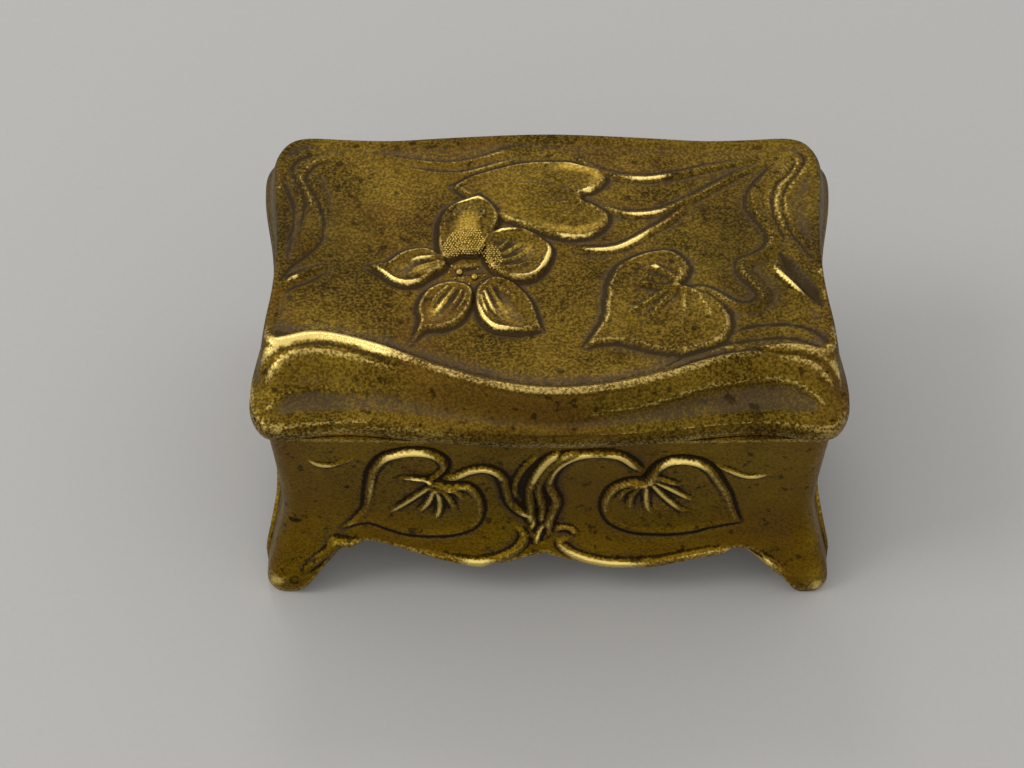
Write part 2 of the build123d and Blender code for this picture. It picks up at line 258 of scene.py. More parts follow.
class Panel:  # a plain surface, and the heights that relief adds along its normals
    def __init__(self, points, faces, flatAxes, loose):
        self.points = points
        self.normals = meshNormals(points, faces)
        self.edges = np.unique(np.sort(np.vstack([faces[:, [0, 1]], faces[:, [1, 2]]]), axis=1), axis=0)
        self.tree = BVHTree.FromPolygons(points.tolist(), plainFaces(faces))
        self.flatAxes = list(flatAxes)
        self.loose = loose  # True where the panel shares the lid's play
        self.raised = np.zeros(len(points))
        self.sunk = np.zeros(len(points))
        self.shown = np.ones(len(points), bool)

    def traced(self, pixels):  # where the pixels lie on the panel
        found = []
        for u, v in pixels:
            place, way = pixelRay(u, v)
            if self.loose:
                place, way = withoutPlay(place, way)
            hit = self.tree.ray_cast(Vector(place), Vector(way))[0]
            if hit is not None:
                found.append(tuple(hit))
        return found

    def thrown(self, places, way):  # where places rest on the panel when sent along a way
        found = [self.tree.ray_cast(Vector(place), Vector(way))[0] for place in places]
        return [tuple(hit) for hit in found if hit is not None]

    def near(self, line, reach, atOnce=24):  # points close to a line, their distance and their place along it
        distance = np.full(len(self.points), far)
        nearest = np.zeros(len(self.points), int)
        for start in range(0, len(line), atOnce):
            part = line[start:start + atOnce]
            inside = self.shown.copy()
            for axis in range(3):
                inside &= np.abs(self.points[:, axis] - part[:, axis].mean()) < np.ptp(part[:, axis]) + reach
            chosen = np.nonzero(inside)[0]
            if len(chosen):
                gaps = np.linalg.norm(self.points[chosen][:, None, :] - part[None, :, :], axis=2)
                least = gaps.min(axis=1)
                closer = least < distance[chosen]
                nearest[chosen[closer]] = start + gaps.argmin(axis=1)[closer]
                distance[chosen[closer]] = least[closer]
        chosen = np.nonzero(distance < reach)[0]
        return chosen, distance[chosen], nearest[chosen] / max(1, len(line) - 1)

    def alongside(self, line, reach):  # the line made smooth, and what is near it
        line = smoothLine(line) if len(line) > 1 else np.zeros((0, 3))
        return line, *self.near(line, reach)

    def roll(self, line, wide, high, ends, crisp=reliefShape["crisp"]):  # raised, or sunk if high is negative
        _, chosen, distance, along = self.alongside(line, wide)
        swell = swelling(along, ends)
        thin, low = reliefShape["endWidth"], reliefShape["endHeight"]
        half = wide * (thin + (1 - thin) * swell)
        shape = np.clip(1 - (distance / half) ** 2, 0, 1) ** crisp
        height = abs(high) * (low + (1 - low) * swell) * shape * np.minimum(1, swell * reliefShape["endRise"])
        laid = self.raised if high > 0 else self.sunk
        laid[chosen] = np.maximum(laid[chosen], height)

    def fold(self, line, wide, high, side, ends):  # rises softly from one side and drops sharply at the line
        line, chosen, distance, along = self.alongside(line, wide)
        place = np.clip((along * (len(line) - 1)).round().astype(int), 1, len(line) - 2)
        run = (line[place + 1] - line[place - 1])[:, self.flatAxes]
        away = (self.points[chosen] - line[place])[:, self.flatAxes]
        soft = side * (run[:, 0] * away[:, 1] - run[:, 1] * away[:, 0]) > 0
        slope = np.clip(1 - distance / wide, 0, 1) ** reliefShape["foldPower"]
        drop = np.clip(1 - distance / reliefShape["foldDrop"], 0, 1)
        height = high * swelling(along, ends) * np.where(soft, slope, drop)
        self.raised[chosen] = np.maximum(self.raised[chosen], height)

    def pad(self, outline, look):  # a leaf or a petal, with its rim, its dish and a ditch round it
        line = smoothLine(outline, closed=True)
        reach, edge, moat = reliefShape["padReach"], reliefShape["padEdge"], reliefShape["moat"]
        low, high = line.min(axis=0) - reach, line.max(axis=0) + reach
        chosen = np.nonzero(((self.points > low) & (self.points < high)).all(axis=1) & self.shown)[0]
        distance = gapsTo(line, self.points[chosen])
        flat = self.points[chosen][:, self.flatAxes]
        inside = insideOf(line[:, self.flatAxes], flat)
        if not inside.any():
            return
        depth = np.where(inside, distance, -distance)
        widest = max(depth.max(), tiny)
        level = (flat[:, 1] - flat[inside, 1].min()) / np.ptp(flat[inside, 1])
        rimLow, rimWide = look.get("rimLow", reliefShape["rimLow"]), look["rimWide"]
        strength = rimLow + (1 - rimLow) * eased(level * reliefShape["rimGain"] - reliefShape["rimStart"])
        height = look["lift"] * eased(depth / edge + 0.5)
        height += look["rim"] * strength * np.clip(1 - ((depth - rimWide) / rimWide) ** 2, 0, 1)
        height -= look["dish"] * eased((depth - rimWide) / (widest - rimWide + tiny)) * (depth > rimWide)
        covered = depth > -edge / 2
        self.raised[chosen] = np.where(
            covered, np.maximum(self.raised[chosen] * (depth < 0), height), self.raised[chosen]
        )
        self.sunk[chosen] *= depth < 0
        ditch = look["ditch"] * strength * np.clip(1 - ((depth + moat) / moat) ** 2, 0, 1)
        self.sunk[chosen] = np.maximum(self.sunk[chosen], ditch)

    def vein(self, line, wide, high, ends):  # laid on what is there already
        _, chosen, distance, along = self.alongside(line, wide)
        self.raised[chosen] += high * swelling(along, ends) * np.clip(1 - (distance / wide) ** 2, 0, 1)

    def shaped(self, rounds, proud):  # the finished surface, with the relief's own edges softened
        height = proud * blurred((self.raised - self.sunk)[:, None], self.edges, rounds)
        return self.points + self.normals * height


# Lid casting: plan and profile as in the frame, with closer rows

lidPlan = {
    "width": 90.0, "depth": 60.0, "joint": 36.0, "rise": 10.0, "gap": 0.15, "wall": 1.8,
    "lip": 3.0, "land": 2.2, "rounding": 0.35, "step": 0.3, "sink": 0.6, "ridge": 1.6,
    "outlineShares": (
        (0.947, 0), (0.961, 0.3), (0.999, 0.7), (0.987, 0.853), (0.942, 0.94), (0.873, 0.953),
        (0.789, 0.933), (0.69, 0.92), (0.45, 0.955), (0.2, 0.993), (0, 1),
    ),
    "frontLeftShares": (
        (0.911, 0), (0.933, 0.25), (0.953, 0.517), (0.94, 0.587), (0.902, 0.587), (0.844, 0.53),
        (0.773, 0.493), (0.68, 0.51), (0.45, 0.7), (0.2, 0.89), (0, 0.94),
    ),
    "frontRightShares": (
        (0.911, 0), (0.933, 0.25), (0.957, 0.56), (0.945, 0.64), (0.907, 0.65), (0.853, 0.607),
        (0.778, 0.58), (0.684, 0.603), (0.45, 0.755), (0.2, 0.905), (0, 0.94),
    ),
    "backShares": (
        (0.911, 0), (0.918, 0.27), (0.96, 0.633), (0.953, 0.773), (0.916, 0.86), (0.853, 0.883),
        (0.778, 0.873), (0.689, 0.833), (0.45, 0.837), (0.2, 0.893), (0, 0.917),
    ),
    "slopeShares": (
        (0, 0), (0.18, 0.11), (0.4, 0.2), (0.56, 0.48), (0.72, 0.79), (0.86, 0.94), (1, 1),
    ),
    "hollowShares": ((0.3, 0.2), (0.64, 0.62), (1, 1)),
    "slopeSpacing": 0.01, "cornerPoint": 3, "easings": 2, "hollowEasings": 4,
}
lidMesh = {
    "across": 284, "deep": 180, "slopeRows": 27, "lipRows": 6, "coarser": 4, "bridge": 0.6,
    "ringSteps": 3000, "acrossReach": (-43.0, 43.0), "deepReach": (-17.5, 23.3),
    "softening": 14, "softBelow": 0.5, "softOver": 1.5,
}
flowerBand = {"across": (-30.0, 3.0), "deep": (-10.0, 19.0), "closeness": 1.7, "fade": 3.0, "steps": 2001}


def quarterPoints(shares, signX, signY):
    return [(signX * x * lidPlan["width"] / 2, signY * y * lidPlan["depth"] / 2) for x, y in shares]


def closedRing(backRight, backLeft, frontLeft, frontRight):
    ring = quarterPoints(backRight, 1, 1)
    ring += quarterPoints(backLeft, -1, 1)[-2::-1]
    ring += quarterPoints(frontLeft, -1, -1)[1:]
    ring += quarterPoints(frontRight, 1, -1)[-2:0:-1]
    return np.array(ring)


def easedRing(ring, times):
    for _ in range(times):
        ring = (np.roll(ring, 1, axis=0) + 2 * ring + np.roll(ring, -1, axis=0)) / 4
    return ring


def setIn(ring, inset):
    run = np.roll(ring, -1, axis=0) - np.roll(ring, 1, axis=0)
    run /= np.linalg.norm(run, axis=1)[:, None]
    return ring + inset * np.stack([-run[:, 1], run[:, 0]], axis=1)


outlineRing = closedRing(*[lidPlan["outlineShares"]] * 4)
ridgeRing = closedRing(
    lidPlan["backShares"], lidPlan["backShares"], lidPlan["frontLeftShares"], lidPlan["frontRightShares"]
)
ringSteps = np.linalg.norm(np.roll(outlineRing, -1, axis=0) - outlineRing, axis=1)
ringKnots = np.concatenate([[0], np.cumsum(ringSteps) / ringSteps.sum()])


def lidRing(wayIn, inset, samples, easings=lidPlan["easings"]):
    ring = outlineRing + wayIn * (easedRing(ridgeRing, easings) - outlineRing)
    return periodicSpline(setIn(ring, inset), ringKnots, samples)


def gridLines(count, reach, band):  # lines that draw together across the flower's band
    place = np.linspace(*reach, flowerBand["steps"])
    rise = eased((place - band[0]) / flowerBand["fade"] + 1)
    fall = eased((band[1] - place) / flowerBand["fade"] + 1)
    density = 1 + (flowerBand["closeness"] - 1) * rise * fall
    run = np.concatenate([[0], np.cumsum((density[1:] + density[:-1]) / 2)])
    return np.interp(np.linspace(0, run[-1], count + 1), run, place)


def shareOf(lines):
    return (lines - lines[0]) / (lines[-1] - lines[0])


def perimeterSamples(acrossLines, deepLines):  # places round the ring, side by side from the back right ear
    count = len(outlineRing)
    corner = lidPlan["cornerPoint"]
    half = count // 2
    marks = [corner, half - corner, half + corner, count - corner, count + corner]
    knots = np.concatenate([ringKnots[:-1], ringKnots + 1])
    samples = []
    for side, (start, end) in enumerate(zip(marks, marks[1:])):
        fine = np.linspace(knots[start], knots[end], lidMesh["ringSteps"])
        curve = lidRing(1, 0, fine)
        axis, lines = (0, acrossLines) if side % 2 == 0 else (1, deepLines)
        share = shareOf(lines)
        if side < 2:
            share = 1 - share[::-1]
        place = np.maximum.accumulate(shareOf(curve[:, axis]))
        place += np.arange(len(place)) / far  # a hair more each time, so that the places always rise
        samples.append(np.interp(share, place, fine)[:-1])
    return np.concatenate(samples)


def filledGrid(loop, across, deep, acrossShare, deepShare):
    back = loop[:across + 1][::-1]
    left = loop[across:across + deep + 1][::-1]
    front = loop[across + deep:2 * across + deep + 1]
    right = np.vstack([loop[2 * across + deep:], loop[:1]])
    u = acrossShare[None, :, None]
    v = deepShare[:, None, None]
    grid = (1 - v) * front[None] + v * back[None] + (1 - u) * left[:, None] + u * right[:, None]
    grid -= (1 - u) * (1 - v) * front[0] + u * (1 - v) * front[-1] + (1 - u) * v * back[0] + u * v * back[-1]
    return grid


def gridLoop(across, deep):  # the grid's own border indices in the order of the loop
    index = np.arange((across + 1) * (deep + 1)).reshape(deep + 1, across + 1)
    back = index[-1, ::-1][:-1]
    left = index[::-1, 0][:-1]
    front = index[0, :][:-1]
    right = index[:, -1][:-1]
    return np.concatenate([back, left, front, right])


def gridFaces(across, deep):
    index = np.arange((across + 1) * (deep + 1)).reshape(deep + 1, across + 1)
    return np.stack([
        index[:-1, :-1].ravel(), index[:-1, 1:].ravel(), index[1:, 1:].ravel(), index[1:, :-1].ravel()
    ], axis=1)


def bandFaces(upper, lower):  # quads between two loops of equal count
    return np.stack([upper, lower, np.roll(lower, -1), np.roll(upper, -1)], axis=1)


def slopeHeight(wayIn):
    share = smoothLine(lidPlan["slopeShares"], lidPlan["slopeSpacing"])
    return np.interp(wayIn, share[:, 0], share[:, 1])


def lidSurface():
    across, deep = lidMesh["across"], lidMesh["deep"]
    ridgeTop = lidPlan["joint"] + lidPlan["rise"]
    lipTop = lidPlan["joint"] + lidPlan["lip"]
    acrossLines = gridLines(across, lidMesh["acrossReach"], flowerBand["across"])
    deepLines = gridLines(deep, lidMesh["deepReach"], flowerBand["deep"])
    samples = perimeterSamples(acrossLines, deepLines)
    ridge = lidRing(1, 0, samples)
    acrossShare, deepShare = shareOf(acrossLines), shareOf(deepLines)
    grid = filledGrid(ridge, across, deep, acrossShare, deepShare).reshape(-1, 2)
    gap = gapsTo(ridge[::2], grid)
    level = ridgeTop - lidPlan["sink"] * eased(gap / lidPlan["ridge"])
    points = [np.column_stack([grid, level])]
    faces = [gridFaces(across, deep)]
    loops = [gridLoop(across, deep)]
    count = len(grid)
    ways = 1 - np.arange(1, lidMesh["slopeRows"] + 1) / lidMesh["slopeRows"]
    slope = lipTop + slopeHeight(ways) * (ridgeTop - lipTop)
    rows = [(way, lidPlan["step"] * (way <= 0), z) for way, z in zip(ways, slope)]
    for share in np.arange(1, lidMesh["lipRows"] + 1) / lidMesh["lipRows"]:
        bulge = (2 * share - 1) ** 2
        inset = (lidPlan["step"] if share < 0.5 else lidPlan["rounding"]) * bulge
        rows.append((0, inset, lipTop + share * (lidPlan["joint"] + lidPlan["gap"] - lipTop)))
    rows.append((0, lidPlan["land"] - lidMesh["bridge"], lidPlan["joint"] + lidPlan["gap"]))
    for way, inset, z in rows:
        ring = lidRing(way, inset, samples)
        points.append(np.column_stack([ring, np.full(len(ring), z)]))
        loops.append(np.arange(count, count + len(ring)))
        faces.append(bandFaces(loops[-2], loops[-1]))
        count += len(ring)
    points, faces = np.vstack(points), np.vstack(faces)
    edges = np.vstack([faces[:, [0, 1]], faces[:, [1, 2]]])
    softer = blurred(points, edges, lidMesh["softening"])
    share = eased((points[:, 2] - lipTop + lidMesh["softBelow"]) / lidMesh["softOver"])[:, None]
    return points + share * (softer - points), faces, loops, samples, acrossShare, deepShare


def lidUnderside(outerLoop, samples, acrossShare, deepShare, firstIndex):  # hollow, on a coarser grid
    every = lidMesh["coarser"]
    across, deep = lidMesh["across"] // every, lidMesh["deep"] // every
    base = lidPlan["joint"] + lidPlan["gap"]
    drop = lidPlan["wall"] + lidPlan["sink"]
    few = samples[::every]
    rows = [lidRing(0, lidPlan["land"], few)]
    levels = [base]
    for way, up in lidPlan["hollowShares"]:
        rows.append(lidRing(way, lidPlan["wall"], few, lidPlan["hollowEasings"]))
        levels.append(lidPlan["joint"] + lidPlan["lip"] + up * (lidPlan["rise"] - lidPlan["lip"]) - drop)
    points = [np.column_stack([ring, np.full(len(ring), z)]) for ring, z in zip(rows[:-1], levels)]
    loops = [firstIndex + np.arange(len(few)) + index * len(few) for index in range(len(rows) - 1)]
    roof = filledGrid(rows[-1], across, deep, acrossShare[::every], deepShare[::every]).reshape(-1, 2)
    firstRoof = firstIndex + (len(rows) - 1) * len(few)
    points.append(np.column_stack([roof, np.full(len(roof), levels[-1])]))
    loops.append(firstRoof + gridLoop(across, deep))
    faces = [face for upper, lower in zip(loops, loops[1:]) for face in bandFaces(upper, lower).tolist()]
    faces += (firstRoof + gridFaces(across, deep))[:, ::-1].tolist()
    count = len(outerLoop)
    for j in range(len(few)):  # the lip's lower face, from the close loop to the coarse one
        fine = [int(outerLoop[(every * j + step) % count]) for step in range(every, -1, -1)]
        faces.append([int(loops[0][j]), int(loops[0][(j + 1) % len(few)])] + fine)
    return np.vstack(points), faces


hinge = {"y": 28.45, "z": 36.0, "barrel": 20.6, "room": 1.4, "side": 0.15, "troughFrom": 26.0}


def overBarrel(points):  # the notch in the lid's back edge
    points = points.copy()
    inward = hinge["y"] - points[:, 1]
    over = (inward < hinge["room"]) & (np.abs(points[:, 0]) < hinge["barrel"] / 2 + hinge["side"])
    rise = np.sqrt(np.maximum(hinge["room"] ** 2 - np.maximum(inward, 0) ** 2, 0))
    points[over, 2] = np.maximum(points[over, 2], hinge["z"] + rise[over])
    return points


lidPoints, lidFaces, lidLoops, lidSamples, lidAcross, lidDeep = lidSurface()
print("plain lid", len(lidPoints), "points")
lidTop = Panel(lidPoints, lidFaces, (0, 1), loose=True)
lidTop.shown = lidPoints[:, 2] > lidPlan["joint"] + lidPlan["lip"] / 2


# Body casting: sections of the frame's body, with close columns and rows

bodyPlan = {
    "height": 36.0, "halfX": 42.6, "halfY": 28.4, "frontBow": 0.8, "sideBow": 0.3, "corner": 2.5,
    "flare": 1.9, "waist": 1.2, "wall": 2.0, "footWall": 2.2, "footCorner": 6.0,
    "ledgeLevel": 12.8, "ledge": 2.5, "holeX": 35.8, "holeY": 21.1,
    "footSetback": 2.6, "sideFootSetback": 3.6, "archHeight": 11.2, "sideArchHeight": 9.8,
    "levelShares": (
        (0, 0.8, 0), (0.04, 1, 0), (0.1, 0.88, 0), (0.18, 0.48, 0), (0.26, 0.13, 0.06),
        (0.34, 0, 0.5), (0.42, 0, 0.9), (0.5, 0, 1), (0.64, 0, 0.84), (0.82, 0, 0.44), (1, 0, 0),
    ),
    "archShares": (
        (-0.945, 0.2), (-0.885, 0.52), (-0.845, 0.74), (-0.8, 0.88), (-0.71, 1), (-0.575, 0.9),
        (-0.25, 0.63), (-0.08, 0.76), (-0.01, 0.82), (0.045, 0.75), (0.285, 0.56), (0.59, 0.77),
        (0.745, 0.87), (0.82, 0.79), (0.875, 0.56), (0.935, 0.3), (0.975, 0.1),
    ),
    "sideArchShares": (
        (-0.92, 0.3), (-0.82, 0.76), (-0.68, 1), (-0.33, 0.83), (0, 0.66),
        (0.33, 0.83), (0.68, 1), (0.82, 0.76), (0.92, 0.3),
    ),
}
bodyMesh = {
    "front": 270, "back": 220, "side": 110, "corner": 10, "rows": 96, "levels": 73,
    "leanSpacing": 0.02, "cornerRounds": 4, "footRounds": 12, "footPull": 0.6,
    "recessRows": (0, 0.34, 0.67, 1), "chamberRows": (0.5, 1),
}


def wallLean(z):
    rows = [(share, flare * bodyPlan["flare"] - waist * bodyPlan["waist"])
            for share, flare, waist in bodyPlan["levelShares"]]
    line = smoothLine(rows, bodyMesh["leanSpacing"])
    return np.interp(np.asarray(z) / bodyPlan["height"], line[:, 0], line[:, 1])


def archLine(reach, height, shares):
    points = [(-reach, 0)] + [(x * reach, z * height) for x, z in shares] + [(reach, 0)]
    return smoothLine(points)


frontArch = archLine(
    bodyPlan["halfX"] - bodyPlan["footSetback"], bodyPlan["archHeight"], bodyPlan["archShares"]
)
sideArch = archLine(
    bodyPlan["halfY"] - bodyPlan["sideFootSetback"], bodyPlan["sideArchHeight"], bodyPlan["sideArchShares"]
)


def apronLevel(x, y):  # where the apron ends above a place in plan
    front = np.interp(x, frontArch[:, 0], frontArch[:, 1], left=0, right=0)
    side = np.interp(y, sideArch[:, 0], sideArch[:, 1], left=0, right=0)
    return np.maximum(np.maximum(front, side), 0)


def section(x, y, bowX, bowY, corner):  # rounded, bowed rectangle, counter-clockwise from the back right ear
    cornerX, cornerY = x - bowX, y - bowY
    centreX, centreY = cornerX - corner, cornerY - corner
    for _ in range(bodyMesh["cornerRounds"]):
        centreX = x - bowX * (centreY / cornerY) ** 2 - corner
        centreY = y - bowY * (centreX / cornerX) ** 2 - corner
    frontAngle = math.atan2(1, 2 * bowY * centreX / cornerX ** 2)
    sideAngle = math.atan2(2 * bowX * centreY / cornerY ** 2, 1)
    turn = np.linspace(sideAngle, frontAngle, bodyMesh["corner"] + 1)
    arc = np.column_stack([centreX + corner * np.cos(turn), centreY + corner * np.sin(turn)])
    endX, endY = arc[-1, 0], arc[0, 1]

    def bowedFront(count):
        run = np.linspace(-endX, endX, count + 1)[1:-1]
        return np.column_stack([run, y - bowY * (run / cornerX) ** 2])

    run = np.linspace(-endY, endY, bodyMesh["side"] + 1)[1:-1]
    side = np.column_stack([x - bowX * (run / cornerY) ** 2, run])
    back, front = bowedFront(bodyMesh["back"]), bowedFront(bodyMesh["front"])
    return np.vstack([
        back[::-1], arc[::-1] * (-1, 1), side[::-1] * (-1, 1), arc * (-1, -1),
        front * (1, -1), arc[::-1] * (1, -1), side, arc,
    ])


def bodySection(lean, inset, corner):
    return section(
        bodyPlan["halfX"] + lean - inset, bodyPlan["halfY"] + lean - inset,
        bodyPlan["sideBow"], bodyPlan["frontBow"], corner,
    )


def bodySurface():
    levels = np.linspace(0, bodyPlan["height"], bodyMesh["levels"])
    table = np.array([bodySection(lean, 0, bodyPlan["corner"]) for lean in wallLean(levels)])
    column = np.arange(table.shape[1])

    def atLevel(z):
        place = np.clip(z / bodyPlan["height"] * (len(levels) - 1), 0, len(levels) - 1 - tiny)
        low = place.astype(int)
        part = (place - low)[:, None]
        return table[low, column] * (1 - part) + table[low + 1, column] * part

    foot = np.zeros(len(column))
    for _ in range(bodyMesh["footRounds"]):
        plan = atLevel(foot)
        foot += bodyMesh["footPull"] * (apronLevel(plan[:, 0], plan[:, 1]) - foot)
    points, faces, loops = [], [], []

    def addLoop(plan, z):
        loops.append(np.arange(len(column)) + sum(len(part) for part in points))
        points.append(np.column_stack([plan, np.broadcast_to(z, len(column))]))
        if len(loops) > 1:
            faces.append(bandFaces(loops[-2], loops[-1]))

    for share in np.linspace(0, 1, bodyMesh["rows"] + 1):
        z = bodyPlan["height"] - share * (bodyPlan["height"] - foot)
        addLoop(atLevel(z), z)
    recess = bodySection(wallLean(bodyPlan["ledgeLevel"]), bodyPlan["footWall"], bodyPlan["footCorner"])
    hole = section(bodyPlan["holeX"], bodyPlan["holeY"], 0, 0, bodyPlan["footCorner"])
    chamber = bodySection(-bodyPlan["waist"], bodyPlan["wall"], bodyPlan["corner"] - bodyPlan["wall"])
    ledgeTop = bodyPlan["ledgeLevel"] + bodyPlan["ledge"]
    low = apronLevel(recess[:, 0], recess[:, 1])
    for share in bodyMesh["recessRows"]:
        addLoop(recess, low + share * (bodyPlan["ledgeLevel"] - low))
    addLoop(hole, bodyPlan["ledgeLevel"])
    addLoop(hole, ledgeTop)
    addLoop(chamber, ledgeTop)
    for share in bodyMesh["chamberRows"]:
        addLoop(chamber, ledgeTop + share * (bodyPlan["height"] - ledgeTop))
    faces.append(bandFaces(loops[-1], loops[0]))
    return np.vstack(points), np.vstack(faces), loops


def clearOfBarrel(points):  # the half-round trough in the back of the rim
    points = points.copy()
    drop = np.abs(points[:, 2] - hinge["z"])
    over = (points[:, 1] > hinge["troughFrom"]) & (np.abs(points[:, 0]) < hinge["barrel"] / 2 + hinge["side"])
    over &= drop < hinge["room"]
    wall = hinge["y"] - np.sqrt(np.maximum(hinge["room"] ** 2 - drop ** 2, 0))
    points[over, 1] = np.minimum(points[over, 1], wall[over])
    return points


bodyPoints, bodyFaces, bodyLoops = bodySurface()
print("plain body", len(bodyPoints), "points")
outerCount = len(bodyLoops[0]) * (bodyMesh["rows"] + 1)
bodyWall = Panel(bodyPoints, bodyFaces, (0, 2), loose=False)
wallFrom = {"front": 20.0, "end": 38.0}  # how far out each wall's own points begin


def showWall(axis, side, beyond):  # relief and wear are laid on this part of the outside only
    outside = np.arange(len(bodyPoints)) < outerCount
    bodyWall.shown = outside & (bodyPoints[:, axis] * side > beyond)


# Relief of the lid

